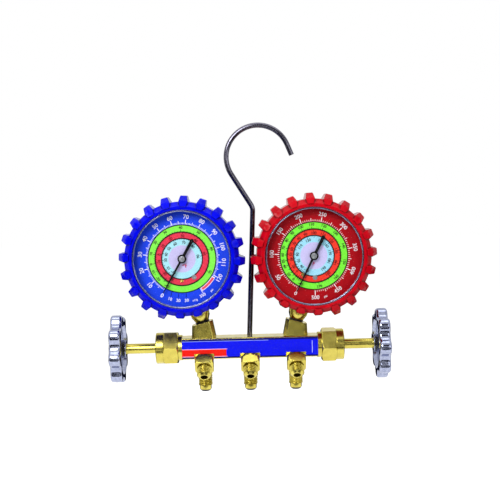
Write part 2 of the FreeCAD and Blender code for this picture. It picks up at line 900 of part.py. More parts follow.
def socket():
    """The brass socket: thread, wrench square and the head that carries tube and works."""
    half = socket_square / 2
    square = slab(half, socket_foot, -socket_shoulder, -half, half)
    corner_radius = half * math.sqrt(2)
    tapered = [
        (socket_foot, 0),
        (socket_foot, socket_foot_radius),
        (socket_foot + socket_taper_length, corner_radius),
        (-socket_shoulder, corner_radius),
        (-socket_shoulder, 0),
    ]
    square = square.common(turned_about_z(tapered))
    head = slab(socket_head_width / 2, -socket_shoulder - 1, -socket_head_top, -half, half)
    neck = rod(neck_thread_diameter, ALONG_Z * (socket_foot + 1),
               ALONG_Z * (socket_foot - neck_thread_showing - neck_thread_length))
    passage = rod(gauge_passage, ALONG_Z * (socket_foot - neck_thread_length - 3), ALONG_Z * -tube_radius)
    pocket = tube_sweep(joint_clearance, tube_root_angle - 1, tube_pocket_arc)
    return square.fuse([head, neck]).removeSplitter().cut([passage, pocket])


def tube_sweep(margin, start, arc):
    """The outer form of the flattened tube along part of its round."""
    half_width = tube_width / 2 + margin
    half_thickness = tube_thickness / 2 + margin
    section = polygon_face([
        Vector(0, -half_width, tube_radius - half_thickness),
        Vector(0, half_width, tube_radius - half_thickness),
        Vector(0, half_width, tube_radius + half_thickness),
        Vector(0, -half_width, tube_radius + half_thickness),
    ])
    return turned(section.revolve(ORIGIN, ALONG_Y, arc), start)


def bourdon_tube():
    inside = tube_sweep(-tube_wall, tube_root_angle, tube_arc)
    return tube_sweep(0.0, tube_root_angle, tube_arc).cut(inside)


def tube_tip():
    """The block that closes the tube, with an arm forward to the link."""
    half = tip_width / 2
    back = -tube_width / 2 - 0.5
    front = link_back - open_pivot_clearance
    block = Part.makeBox(tip_length, front - back, tip_width, Vector(0, -front, tube_radius - half))
    return turned(block, tube_root_angle + tube_arc)


def gear_tooth(root_radius, pitch_radius, reach):
    """One slim tooth at twelve o'clock, as a flat face; it leans the same on both flanks."""
    root_width = tooth_pitch_width + (tooth_pitch_width - tooth_tip_width)
    return polygon_face([
        Vector(-root_width / 2, 0, root_radius - 0.3),
        Vector(-root_width / 2, 0, root_radius),
        Vector(-tooth_pitch_width / 2, 0, pitch_radius),
        Vector(-tooth_tip_width / 2, 0, reach),
        Vector(tooth_tip_width / 2, 0, reach),
        Vector(tooth_pitch_width / 2, 0, pitch_radius),
        Vector(root_width / 2, 0, root_radius),
        Vector(root_width / 2, 0, root_radius - 0.3),
    ])


def pinion():
    """Twelve teeth, the arbor up to the pointer and the collet of the hairspring."""
    reach = pinion_radius + tooth_addendum
    root = reach - tooth_height
    back = sector_back - (pinion_face - sector_thickness) / 2
    tooth = gear_tooth(root, pinion_radius, reach).extrude(-ALONG_Y * pinion_face)
    tooth.translate(-ALONG_Y * back)
    teeth = [turned(tooth, 360 / pinion_teeth * (place + 0.5)) for place in range(pinion_teeth)]
    core = disc(root, back, back + pinion_face)
    arbor = disc(arbor_diameter / 2, socket_face + end_clearance, pointer_front)
    collet = disc(collet_radius, back + pinion_face, front_plate_back - end_clearance)
    return core.fuse(teeth + [arbor, collet]).removeSplitter()


def sector_at_pivot():
    """The toothed sector about its own pivot, with its rim, two arms, hub, tail and pins."""
    reach = sector_radius + tooth_addendum
    root = reach - tooth_height
    step = 360 / sector_full_teeth
    tooth = gear_tooth(root, sector_radius, reach)
    teeth = []
    for place in range(sector_cut_teeth):
        face = turned(tooth, step * (place + round(sector_start_angle / step)))
        teeth.append(face.extrude(-ALONG_Y * sector_thickness))
    start = step * (round(sector_start_angle / step) - 0.6)
    arc = step * (sector_cut_teeth + 0.2)
    rim_section = polygon_face([
        Vector(0, 0, root - sector_rim_width),
        Vector(0, 0, root),
        Vector(0, -sector_thickness, root),
        Vector(0, -sector_thickness, root - sector_rim_width),
    ])
    rim = turned(rim_section.revolve(ORIGIN, ALONG_Y, arc), start)
    arms = []
    for angle in (start + 4, start + arc - 4):
        arm = Part.makeBox(1.8, sector_thickness, root - 0.5, Vector(-0.9, -sector_thickness, 0))
        arms.append(turned(arm, angle))
    hub = Part.makeCylinder(sector_hub_radius, sector_thickness, ORIGIN, -ALONG_Y)
    tail = Part.makeBox(2.4, sector_thickness, sector_tail_length, Vector(-1.2, -sector_thickness, 0))
    tail_end = Part.makeCylinder(link_eye_radius, sector_thickness, ALONG_Z * sector_tail_length, -ALONG_Y)
    pin = Part.makeCylinder(link_pin_diameter / 2, sector_back - link_back + 0.5,
                            ALONG_Z * sector_tail_length - ALONG_Y * 0.5, ALONG_Y)
    tail_group = [turned(piece, sector_tail_angle) for piece in (tail, tail_end, pin)]
    body = rim.fuse(teeth + arms + [hub] + tail_group)
    body.translate(-ALONG_Y * sector_back)
    arbor = disc(arbor_diameter / 2, socket_face + end_clearance, front_plate_front)
    return body.fuse(arbor).removeSplitter()


def sector_gear():
    return sector_at_pivot().translated(-ALONG_Z * sector_pivot_drop)


def tail_pin_place():
    angle = math.radians(sector_tail_angle)
    across = sector_tail_length * math.sin(angle)
    up = sector_tail_length * math.cos(angle) - sector_pivot_drop
    return Vector(across, 0, up)


def tip_pin_place():
    angle = math.radians(tube_root_angle + tube_arc) + tip_length / 2 / tube_radius
    return Vector(tube_radius * math.sin(angle), 0, tube_radius * math.cos(angle))


def link():
    """The flat link from the sector's tail to the tube's tip, open at the tip."""
    start = tail_pin_place()
    end = tip_pin_place()
    line = end - start
    bar = Part.makeBox(link_width, link_thickness, line.Length, Vector(-link_width / 2, -link_front, 0))
    bar.rotate(ORIGIN, ALONG_Y, math.degrees(math.atan2(line.x, line.z)))
    bar.translate(start)
    eyes = [disc(link_eye_radius, link_back, link_front, eye.x, eye.z) for eye in (start, end)]
    hole = link_pin_diameter / 2 + running_clearance
    holes = [disc(hole, link_back - 1, link_front + 1, eye.x, eye.z) for eye in (start, end)]
    return bar.fuse(eyes).removeSplitter().cut(holes)


def movement_plates():
    """The rear plate on the socket's head and the front plate on its pillars."""
    hole = arbor_diameter / 2 + running_clearance
    plates = []
    for back in (socket_face, front_plate_back):
        front = back + plate_thickness
        plate = slab(plate_half_width, -plate_bottom, plate_top, back, front)
        holes = [disc(hole, back - 1, front + 1), disc(hole, back - 1, front + 1, 0, -sector_pivot_drop)]
        plates.append(plate.cut(holes))
    return Part.makeCompound(plates)


def movement_pillars():
    """Three pillars between the plates, two dial posts in front and the hairspring's stud."""
    pieces = []
    for across, up in pillar_places:
        pieces.append(disc(pillar_diameter / 2, rear_plate_front, front_plate_back, across, up))
    dial_back = dial_depth - dial_thickness
    for across, up in dial_screw_places():
        post = disc(pillar_diameter / 2, front_plate_front, dial_back, across, up)
        hole = disc(dial_screw_diameter / 2 + joint_clearance, front_plate_front, dial_back, across, up)
        pieces.append(post.cut(hole))
    stud_start = spring_front() - spring_width
    pieces.append(disc(0.5, stud_start, front_plate_back, spring_outer_radius + 0.6, 0))
    return Part.makeCompound(pieces)


def spring_front():
    return front_plate_back - end_clearance


def hairspring():
    """A flat spiral of half rounds, from beside the collet out to the stud."""
    half_turns = 2 * spring_turns
    inner = collet_radius + open_pivot_clearance
    grow = (spring_outer_radius - inner) / half_turns
    outer_edges = []
    inner_edges = []
    right = spring_outer_radius
    sign = 1
    for step in range(half_turns):
        left = right - grow
        middle = (right - left) / 2 * sign
        radius = (right + left) / 2
        for edges, size in ((outer_edges, radius), (inner_edges, radius - spring_strip)):
            start = Vector(middle + sign * size, 0, 0)
            top = Vector(middle, 0, sign * size)
            end = Vector(middle - sign * size, 0, 0)
            edges.append(Part.Arc(start, top, end).toShape())
        right = left
        sign = -sign
    first_close = Part.makeLine(outer_edges[0].Vertexes[0].Point, inner_edges[0].Vertexes[0].Point)
    last_close = Part.makeLine(outer_edges[-1].Vertexes[-1].Point, inner_edges[-1].Vertexes[-1].Point)
    wire = Part.Wire(Part.__sortEdges__(outer_edges + inner_edges + [first_close, last_close]))
    strip = Part.Face(wire).extrude(-ALONG_Y * spring_width)
    return strip.translated(-ALONG_Y * (spring_front() - spring_width))


# Hook

def leant_hook(shape):
    """The hook and its hole lean a little towards the high side."""
    copy = shape.copy()
    copy.rotate(Vector(0, hook_setback, bar_height / 2), ALONG_Y, hook_lean)
    return copy


def hook_bend_height():
    return bar_height / 2 + hook_rise


def loop_centre():
    return Vector(loop_offset, hook_setback, hook_bend_height() + loop_rise)


def jog_angle():
    """How far the jog leans left of upright so that it meets the loop as a tangent."""
    distance = math.hypot(loop_offset, loop_rise)
    return math.asin(loop_radius / distance) - math.atan2(loop_offset, loop_rise)


def hook_path():
    """Upright rod, bend, jog, loop over the top and a straight tip, in one plane."""
    bend = Vector(0, hook_setback, hook_bend_height())
    foot = Vector(0, hook_setback, bar_height / 2 - hook_hole_depth + end_clearance)
    tilt = jog_angle()
    jog = Vector(-math.sin(tilt), 0, math.cos(tilt))
    trim = hook_bend_radius * math.tan(tilt / 2)
    bend_start = bend - ALONG_Z * trim
    bend_end = bend + jog * trim
    bend_centre = bend_start - ALONG_X * hook_bend_radius
    half = tilt / 2
    bend_middle = bend_centre + Vector(math.cos(half), 0, math.sin(half)) * hook_bend_radius
    centre = loop_centre()
    outward = Vector(-math.cos(tilt), 0, -math.sin(tilt))
    loop_start = centre + outward * loop_radius
    end_angle = math.radians(loop_end_angle)
    loop_end = centre + Vector(math.sin(end_angle), 0, math.cos(end_angle)) * loop_radius
    onward = Vector(math.cos(end_angle), 0, -math.sin(end_angle))
    loop_top = centre + ALONG_Z * loop_radius
    return [
        Part.makeLine(foot, bend_start),
        Part.Arc(bend_start, bend_middle, bend_end).toShape(),
        Part.makeLine(bend_end, loop_start),
        Part.Arc(loop_start, loop_top, loop_end).toShape(),
        Part.makeLine(loop_end, loop_end + onward * hook_tip_length),
    ]


def hook():
    path = Part.Wire(hook_path())
    foot = path.Vertexes[0].Point
    section = Part.Face(Part.Wire(Part.makeCircle(hook_diameter / 2, foot, ALONG_Z)))
    body = path.makePipe(section)
    if body.ShapeType != "Solid":
        body = Part.makeSolid(body)
    groove_centre = Vector(0, hook_setback, 0)
    half = ALONG_Z * (hook_groove_width / 2)
    groove = rod(hook_diameter + 2, groove_centre - half, groove_centre + half)
    groove = groove.cut(rod(hook_diameter - 2 * hook_groove_depth, groove_centre - half, groove_centre + half))
    return leant_hook(body.cut(groove))


def set_screw_blank(margin, overrun):
    """The space of the set screw, from the bar's back face to the hook's groove."""
    back = bar_depth / 2
    shift = Vector(-math.tan(math.radians(hook_lean)) * bar_height / 2, 0, 0)
    dog_end = hook_setback + hook_diameter / 2 - hook_groove_depth + end_clearance
    shoulder = hook_setback + hook_diameter / 2 + end_clearance
    body = rod(set_screw_diameter + 2 * margin, shift + ALONG_Y * shoulder, shift + ALONG_Y * (back + overrun))
    dog = rod(set_screw_dog_diameter + 2 * margin, shift + ALONG_Y * dog_end, shift + ALONG_Y * (shoulder + 0.1))
    return body.fuse(dog)


def hook_set_screw():
    """A dog-point screw in the bar's back that keeps the hook in and lets it turn."""
    body = set_screw_blank(0.0, -end_clearance)
    back = bar_depth / 2 - end_clearance
    slot = Part.makeBox(set_screw_diameter + 2, 1.0, 0.6, Vector(-set_screw_diameter / 2 - 1, back - 0.8, -0.3))
    return body.cut(slot)


def hook_seat():
    """The inside of the loop's top, where the tool hangs."""
    seat = loop_centre() + ALONG_Z * (loop_radius - hook_diameter / 2)
    base = Vector(0, hook_setback, bar_height / 2)
    turn = FreeCAD.Rotation(ALONG_Y, hook_lean)
    return base + turn.multVec(seat - base)


# Gathering and export

def valve_pieces(side):
    wheel = hand_wheel()
    wheel.rotate(ORIGIN, ALONG_X, wheel_turns[side])
    stem = valve_stem()
    stem.rotate(ORIGIN, ALONG_X, wheel_turns[side])
    pieces = {
        "bonnet": bonnet(),
        "packing": packing(),
        "piston": piston(),
        "piston_ring": piston_ring(),
        "valve_stem": stem,
        "hand_wheel": wheel,
        "wheel_screw": wheel_screw(),
    }
    return {side + "_" + name: on_side(shape, side) for name, shape in pieces.items()}


def gauge_pieces():
    """The pieces that both gauges share, drawn once."""
    return {
        "boot": boot(),
        "case": case(),
        "bezel": bezel(),
        "lens": lens(),
        "lens_gasket": lens_gasket(),
        "dial": dial(),
        "dial_screws": dial_screws(),
        "socket": socket(),
        "bourdon_tube": bourdon_tube(),
        "tube_tip": tube_tip(),
        "sector_gear": sector_gear(),
        "link": link(),
        "pinion": pinion(),
        "movement_plates": movement_plates(),
        "movement_pillars": movement_pillars(),
        "hairspring": hairspring(),
    }


def all_pieces():
    pieces = {"manifold_bar": manifold_bar(), "label_panel": label_panel()}
    for name, place in port_places().items():
        pieces["hose_port_" + name] = hose_port(place)
        pieces["hose_anchor_" + name] = hose_anchor(place)
    shared = gauge_pieces()
    for side in SIDES:
        pieces.update(valve_pieces(side))
        for name, shape in shared.items():
            pieces[side + "_" + name] = on_stand(shape, side)
        pieces[side + "_pointer"] = on_stand(pointer(side), side)
    pieces["hook"] = hook()
    pieces["hook_set_screw"] = hook_set_screw()
    return pieces


def main():
    os.makedirs("parts", exist_ok=True)
    to_hook_seat = hook_seat() * -1
    for name, shape in all_pieces().items():
        shape.translated(to_hook_seat).exportStep("parts/" + name + ".step")


main()
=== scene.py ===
# %% [markdown]
# # A refrigerant manifold gauge
#
# The tool is a brass bar with two hand valves, two pressure gauges in lugged rubber boots, three
# hose fittings, three parking stubs and a steel hook to hang it by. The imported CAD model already
# gives every rigid piece in its place. This script dresses it in Blender: it redraws the pieces
# whose small forms the CAD leaves out, prints the dials and the label, gives every surface its
# finish, and sets up a plain studio and a camera. Run the cells from top to bottom; each one
# prints what it made.

import bpy
import bmesh
import json
import math
from mathutils import Matrix, Vector


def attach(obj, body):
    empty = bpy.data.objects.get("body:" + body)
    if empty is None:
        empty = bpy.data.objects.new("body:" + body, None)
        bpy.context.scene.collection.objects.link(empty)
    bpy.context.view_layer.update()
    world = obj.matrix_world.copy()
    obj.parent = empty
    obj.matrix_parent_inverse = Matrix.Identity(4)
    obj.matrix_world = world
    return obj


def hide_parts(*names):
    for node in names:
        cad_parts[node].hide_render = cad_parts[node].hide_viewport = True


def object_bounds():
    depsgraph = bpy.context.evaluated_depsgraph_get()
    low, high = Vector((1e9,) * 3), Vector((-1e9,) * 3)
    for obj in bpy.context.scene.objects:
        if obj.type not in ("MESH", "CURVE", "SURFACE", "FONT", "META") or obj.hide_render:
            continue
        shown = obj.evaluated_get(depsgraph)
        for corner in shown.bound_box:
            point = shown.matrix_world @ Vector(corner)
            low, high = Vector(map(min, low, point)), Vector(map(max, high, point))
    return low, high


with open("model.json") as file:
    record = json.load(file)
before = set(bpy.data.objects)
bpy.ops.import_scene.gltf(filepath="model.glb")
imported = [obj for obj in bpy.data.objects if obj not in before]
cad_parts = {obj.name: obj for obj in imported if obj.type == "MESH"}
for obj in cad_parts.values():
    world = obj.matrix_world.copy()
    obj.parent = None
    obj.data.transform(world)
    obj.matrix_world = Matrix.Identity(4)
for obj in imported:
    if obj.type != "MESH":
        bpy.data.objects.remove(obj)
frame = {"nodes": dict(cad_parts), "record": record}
cad_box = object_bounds()

# %% [markdown]
# ## Two drawing frames
#
# Most pieces are easier to draw about a place of their own than in the frame of the whole tool.
# Typing every position in the tool's frame would work, but each number would then hide a sum. So
# two kinds of matrix do it: `BAR` puts a drawing about the middle of the brass bar, and `GAUGE`
# puts one about the centre of a dial, which leans 15 degrees outwards. Both turn millimetres into
# metres. The record's joints say where the two places are, so nothing is fitted by eye.

# %% Set up the drawing frames
MM = 0.001
SIDES = {"low": -1, "high": 1}
hook_foot = Vector((0, 6, 8))
gauge_lean = 15.0

joint_places = {joint["name"]: joint.get("pos_m") for joint in frame["record"]["behaviour"]["joints"]}
bar_middle = Vector(joint_places["hook_swivel"]) - hook_foot * MM
BAR = Matrix.Translation(bar_middle) @ Matrix.Scale(MM, 4)
GAUGE = {}
for side, sign in SIDES.items():
    lean = Matrix.Rotation(math.radians(sign * gauge_lean), 4, "Y")
    centre = Matrix.Translation(Vector(joint_places[side + "_needle_turn"]))
    GAUGE[side] = centre @ lean @ Matrix.Scale(MM, 4)
print("bar middle in the tool's frame, mm:", [round(value / MM, 2) for value in bar_middle])

# %% [markdown]
# ## From a drawing to an object
#
# A bmesh is Blender's editable mesh: points and faces that code adds one by one. Operators such as
# "add cylinder" make meshes too, but they act on whatever is selected, so a script that leans on
# them is hard to rerun. Here each piece is drawn in a bmesh, in millimetres, and one helper moves
# it to its place and makes the object. A second helper shades it smooth and keeps its real edges.

# %% Make an object and shade it
SHARP_ANGLE = 32.0


def make_object(name, drawing, matrix, materials, flat=False):
    """Makes an object of a drawing; flat prints face out as drawn, other skins are turned outwards."""
    drawing.transform(matrix)
    if not flat:
        bmesh.ops.recalc_face_normals(drawing, faces=drawing.faces)
    mesh = bpy.data.meshes.new(name)
    drawing.to_mesh(mesh)
    drawing.free()
    for material in materials:
        mesh.materials.append(material)
    piece = bpy.data.objects.new(name, mesh)
    bpy.context.scene.collection.objects.link(piece)
    return piece


def smooth(piece, sharp_angle=SHARP_ANGLE):
    """Smooth shading everywhere but across edges that bend by more than the sharp angle."""
    for face in piece.data.polygons:
        face.use_smooth = True
    piece.data.set_sharp_from_angle(angle=math.radians(sharp_angle))


print("edges that bend more than", SHARP_ANGLE, "degrees stay sharp")

# %% [markdown]
# ## Skins and turned forms
#
# Fittings and caps come off a lathe, and a boot comes out of a round mould, so a profile spun about
# an axis gives their form. A Screw modifier could spin a curve, but its rings couldn't change shape
# on the way, as they do on the square shank of a fitting. A skin stitches faces between any rows of
# points, and the lathe is a skin whose rows are circles.

# %% Skin and lathe
TURNED_SEGMENTS = 96


def skin(drawing, rows, closed_ends=True, ink=0):
    """Faces between rows of points; each row is a closed ring, ink is the material slot."""
    rings = [[drawing.verts.new(point) for point in row] for row in rows]
    for lower, upper in zip(rings, rings[1:]):
        for index in range(len(lower)):
            after = (index + 1) % len(lower)
            face = drawing.faces.new((lower[index], lower[after], upper[after], upper[index]))
            face.material_index = ink
    if closed_ends:
        for end in (rings[0], rings[-1]):
            drawing.faces.new(end).material_index = ink


def ring_row(radius_at, height, segments):
    """One ring about Z; radius_at gives the distance from the axis for an angle."""
    row = []
    for index in range(segments):
        angle = 2 * math.pi * index / segments
        radius = radius_at(angle)
        row.append(Vector((radius * math.cos(angle), radius * math.sin(angle), height)))
    return row


def lathe(drawing, profile, segments=TURNED_SEGMENTS, closed_ends=False, ink=0):
    """A turned form about Z; the profile lists (height, radius)."""
    rows = [ring_row(lambda angle: radius, height, segments) for height, radius in profile]
    skin(drawing, rows, closed_ends, ink)


print("points round a turned form:", TURNED_SEGMENTS)

# %% [markdown]
# ## Colours and nodes
#
# A material is a small tree of nodes. `linear` turns a hex colour, as a paint program shows it,
# into the linear values that light is summed in. `new_material` starts an empty tree. `add_node`
# adds any node, sets its properties, fills in its inputs, and makes a link wherever an input is
# given another node's output. Patterns are sized in real millimetres: object coordinates are
# metres, so a noise texture whose scale is 1 / (size * MM) has grains of about that size. Its
# values gather round one half, and a Map Range node spreads the range where they lie.

# %% Colour and node helpers
NOISE_RANGE = {"From Min": 0.3, "From Max": 0.7}


def linear(hex_colour):
    """A display colour such as C8B950 as the linear values that the shader needs."""
    channels = [int(hex_colour[place:place + 2], 16) / 255 for place in (0, 2, 4)]
    return [c / 12.92 if c <= 0.04045 else ((c + 0.055) / 1.055) ** 2.4 for c in channels] + [1.0]


def new_material(name):
    """A material whose tree is still empty, and the tree."""
    material = bpy.data.materials.new(name)
    material.use_nodes = True
    material.node_tree.nodes.clear()
    return material, material.node_tree


def add_node(tree, kind, settings=None, values=None):
    """Adds a node; settings are its properties, values its inputs, by name or by number."""
    node = tree.nodes.new(kind)
    for name, value in (settings or {}).items():
        setattr(node, name, value)
    for name, value in (values or {}).items():
        if isinstance(value, bpy.types.NodeSocket):
            tree.links.new(value, node.inputs[name])
        else:
            node.inputs[name].default_value = value
    return node


print("C8B950 in linear values:", [round(value, 3) for value in linear("C8B950")])

# %% [markdown]
# ## Brass
#
# The bar, the bonnets, the stems and the fittings are free-cutting brass, machined and then
# tumbled. The eye sees an olive yellow, softly glossy metal with faint stains from handling and
# fine marks of the cutter. A picture of brass would show seams on turned pieces, so noise makes the
# stains and the marks. Stretching the fine noise along the way the tool ran gives the drawn bar its
# long streaks and the turned pieces their rings. A Bevel node rounds the light on the tumbled
# edges, which would cost many faces as real geometry.

# %% Brass finish
# Handling leaves stains about half a fingertip wide, and tumbling leaves patches of 2 to 3 mm.
stain_mm = 7.0
tumbled_patch_mm = 2.5
# Machined brass is typically 0.2 to 0.3 rough; the photograph's soft highlights fit that range.
tumbled_roughness = (0.21, 0.27)
# Real cutter marks are 0.1 mm apart, too fine for a picture at 0.8 mm a pixel: drawn coarser.
cutter_mark_mm = 0.6
cutter_mark_depth_mm = 0.006
tumbled_edge_mm = 0.4


def brass(name, stretch=(1, 1, 1), light="CEC15E", dark="BAAA4E"):
    """Brass or bronze off the machine: a yellow metal, softly glossy, faintly stained and lined."""
    material, tree = new_material(name)
    place = add_node(tree, "ShaderNodeTexCoord").outputs["Object"]
    stains = add_node(tree, "ShaderNodeTexNoise", values={
        "Vector": place, "Scale": 1 / (stain_mm * MM), "Detail": 4.0})
    stained = add_node(tree, "ShaderNodeMapRange", values={"Value": stains.outputs["Fac"], **NOISE_RANGE})
    colour = add_node(tree, "ShaderNodeMix", {"data_type": "RGBA"}, {
        "Factor": stained.outputs["Result"], "A": linear(light), "B": linear(dark)})
    patches = add_node(tree, "ShaderNodeTexNoise", values={
        "Vector": place, "Scale": 1 / (tumbled_patch_mm * MM), "Detail": 2.0})
    gloss = add_node(tree, "ShaderNodeMapRange", values={
        "Value": patches.outputs["Fac"], "To Min": tumbled_roughness[0],
        "To Max": tumbled_roughness[1], **NOISE_RANGE})
    along_cut = add_node(tree, "ShaderNodeMapping", values={"Vector": place, "Scale": stretch})
    marks = add_node(tree, "ShaderNodeTexNoise", values={
        "Vector": along_cut.outputs["Vector"], "Scale": 1 / (cutter_mark_mm * MM), "Detail": 1.0})
    edge = add_node(tree, "ShaderNodeBevel", {"samples": 4}, {"Radius": tumbled_edge_mm * MM})
    relief = add_node(tree, "ShaderNodeBump", values={
        "Strength": 0.3, "Distance": cutter_mark_depth_mm * MM,
        "Height": marks.outputs["Fac"], "Normal": edge.outputs["Normal"]})
    shader = add_node(tree, "ShaderNodeBsdfPrincipled", values={
        "Base Color": colour.outputs["Result"], "Metallic": 1.0,
        "Roughness": gloss.outputs["Result"], "Normal": relief.outputs["Normal"]})
    add_node(tree, "ShaderNodeOutputMaterial", values={"Surface": shader.outputs["BSDF"]})
    return material


print("stains of", stain_mm, "mm and cutter marks of", cutter_mark_mm, "mm on the brasses")

# %% Make the brasses
# The bar is drawn through a die, so its lines are long and run along it.
BRASS_BAR = brass("brass_drawn_bar", stretch=(0.08, 1, 1))
# Turned pieces have rings round the axis of the lathe: X for the valves, Z for the upright stubs.
# The leaning fittings share the Z rings, which are too fine for a turn of 45 degrees to show.
BRASS_TURNED_X = brass("brass_turned_along_x", stretch=(3.0, 0.15, 0.15))
BRASS_TURNED_Z = brass("brass_turned_along_z", stretch=(0.15, 0.15, 3.0))
# The gauge works are stamped from paler sheet, and the pressure tubes are reddish bronze.
BRASS_WORKS = brass("brass_stamped", light="D6BC6A", dark="B89A48")
BRONZE = brass("phosphor_bronze", light="C08A5A", dark="9A6A40")
print("made:", [metal.name for metal in (BRASS_BAR, BRASS_TURNED_X, BRASS_TURNED_Z, BRASS_WORKS, BRONZE)])

# %% [markdown]
# ## Plated metals
#
# The hand wheels are die-cast zinc with bright chrome, the bezels spun steel with chrome, the hook
# a steel rod with nickel and the dial screws steel with zinc. Plating is a thin mirror, so it
# shows the ripple of what lies under it: the casting's skin, the spinning marks, the drawn rod. One
# function serves all four, because they differ only in tone, gloss and ripple. The ripple is bump
# alone, since it is far shallower than a face of the mesh.

# %% Plated finish
# Buffing leaves a haze far under 0.1 mm, which the picture can't show: drawn coarser.
plating_haze_mm = 1.5
# Bright chrome and nickel are typically 0.05 to 0.15 rough and zinc 0.25 to 0.35. The haziest
# spots are half as rough again.
plating_haze_spread = 1.5


def plated(name, light, dark, roughness, ripple_mm, ripple_depth_mm, edge_mm):
    """A bright, thin metal coat that mirrors its surroundings over the ripple of its ground."""
    material, tree = new_material(name)
    place = add_node(tree, "ShaderNodeTexCoord").outputs["Object"]
    haze = add_node(tree, "ShaderNodeTexNoise", values={
        "Vector": place, "Scale": 1 / (plating_haze_mm * MM), "Detail": 4.0})
    hazed = add_node(tree, "ShaderNodeMapRange", values={"Value": haze.outputs["Fac"], **NOISE_RANGE})
    colour = add_node(tree, "ShaderNodeMix", {"data_type": "RGBA"}, {
        "Factor": hazed.outputs["Result"], "A": linear(light), "B": linear(dark)})
    gloss = add_node(tree, "ShaderNodeMapRange", values={
        "Value": haze.outputs["Fac"], "To Min": roughness, "To Max": roughness * plating_haze_spread,
        **NOISE_RANGE})
    ripple = add_node(tree, "ShaderNodeTexNoise", values={
        "Vector": place, "Scale": 1 / (ripple_mm * MM), "Detail": 2.0})
    edge = add_node(tree, "ShaderNodeBevel", {"samples": 4}, {"Radius": edge_mm * MM})
    relief = add_node(tree, "ShaderNodeBump", values={
        "Strength": 0.6, "Distance": ripple_depth_mm * MM,
        "Height": ripple.outputs["Fac"], "Normal": edge.outputs["Normal"]})
    shader = add_node(tree, "ShaderNodeBsdfPrincipled", values={
        "Base Color": colour.outputs["Result"], "Metallic": 1.0,
        "Roughness": gloss.outputs["Result"], "Normal": relief.outputs["Normal"]})
    add_node(tree, "ShaderNodeOutputMaterial", values={"Surface": shader.outputs["BSDF"]})
    return material


print("haze of", plating_haze_mm, "mm on the plated metals")

# %% Make the plated metals
# The skin of a die casting flows in ripples of about 5 mm, which break the mirror into patches.
# Chrome's own cool tone is pushed to lavender here: a painted reflection of the cool surround.
CHROME_CAST = plated("chrome_on_cast_zinc", "A8AEC6", "8A90AA", 0.11, 5.0, 0.25, 0.9)
# A spun ring has slow waves, about as wide as the tool that pressed it: a clean, even gleam.
# Its dark, bluish tone is a painted reflection of the boots and the dark surround.
CHROME_RING = plated("chrome_on_spun_steel", "9498B4", "7E829E", 0.14, 12.0, 0.02, 0.3)
# A bent rod waves over one to two of its diameters. The nickel is drawn a dark, bluish, glossy grey:
# a painted reflection of the dark surround.
NICKEL_ROD = plated("nickel_on_steel_rod", "6E6C78", "4E4C58", 0.12, 6.0, 0.02, 0.2)
# Zinc grows in crystals far under 0.1 mm, drawn at 1 mm to show: a pale grey, dull shine.
ZINC_SCREW = plated("zinc_on_steel_screw", "A5A7AA", "85888C", 0.28, 1.0, 0.02, 0.1)
print("plated:", [metal.name for metal in (CHROME_CAST, CHROME_RING, NICKEL_ROD, ZINC_SCREW)])

# %% [markdown]
# ## Boot rubber
#
# The boots are moulded PVC rubber, royal blue on the low side and bright red on the high side. The
# eye sees a full colour and a satin skin with the fine grain of a spark-eroded mould. Where the lugs
# meet the ring, shade is painted into the colour as a deeper tone. That painted shade could be drawn
# by hand, but an Ambient Occlusion node finds the corners by itself: it measures how open the surface
# is within a few millimetres.

# %% Rubber finish
# Where the rubber flowed into a lug its tone drifts over about the lug's own width.
cloud_mm = 9.0
# A spark-eroded grain is about 0.05 mm, which the picture can't show: drawn coarser.
mould_grain_mm = 0.35
mould_grain_depth_mm = 0.02
mould_edge_mm = 0.25
# The painted shade where lug and ring meet reaches about the height of a lug.
painted_shade_reach_mm = 7.0
painted_shade_openness = (0.45, 0.95)
# Moulded PVC has an IOR near 1.5. A roughness of 0.4 is typical, but these boots are glossier.
rubber_ior = 1.5
satin_roughness = (0.17, 0.25)
# A higher specular level lays a pale veil on the boots, which the photograph doesn't have.
boot_gloss = 0.1


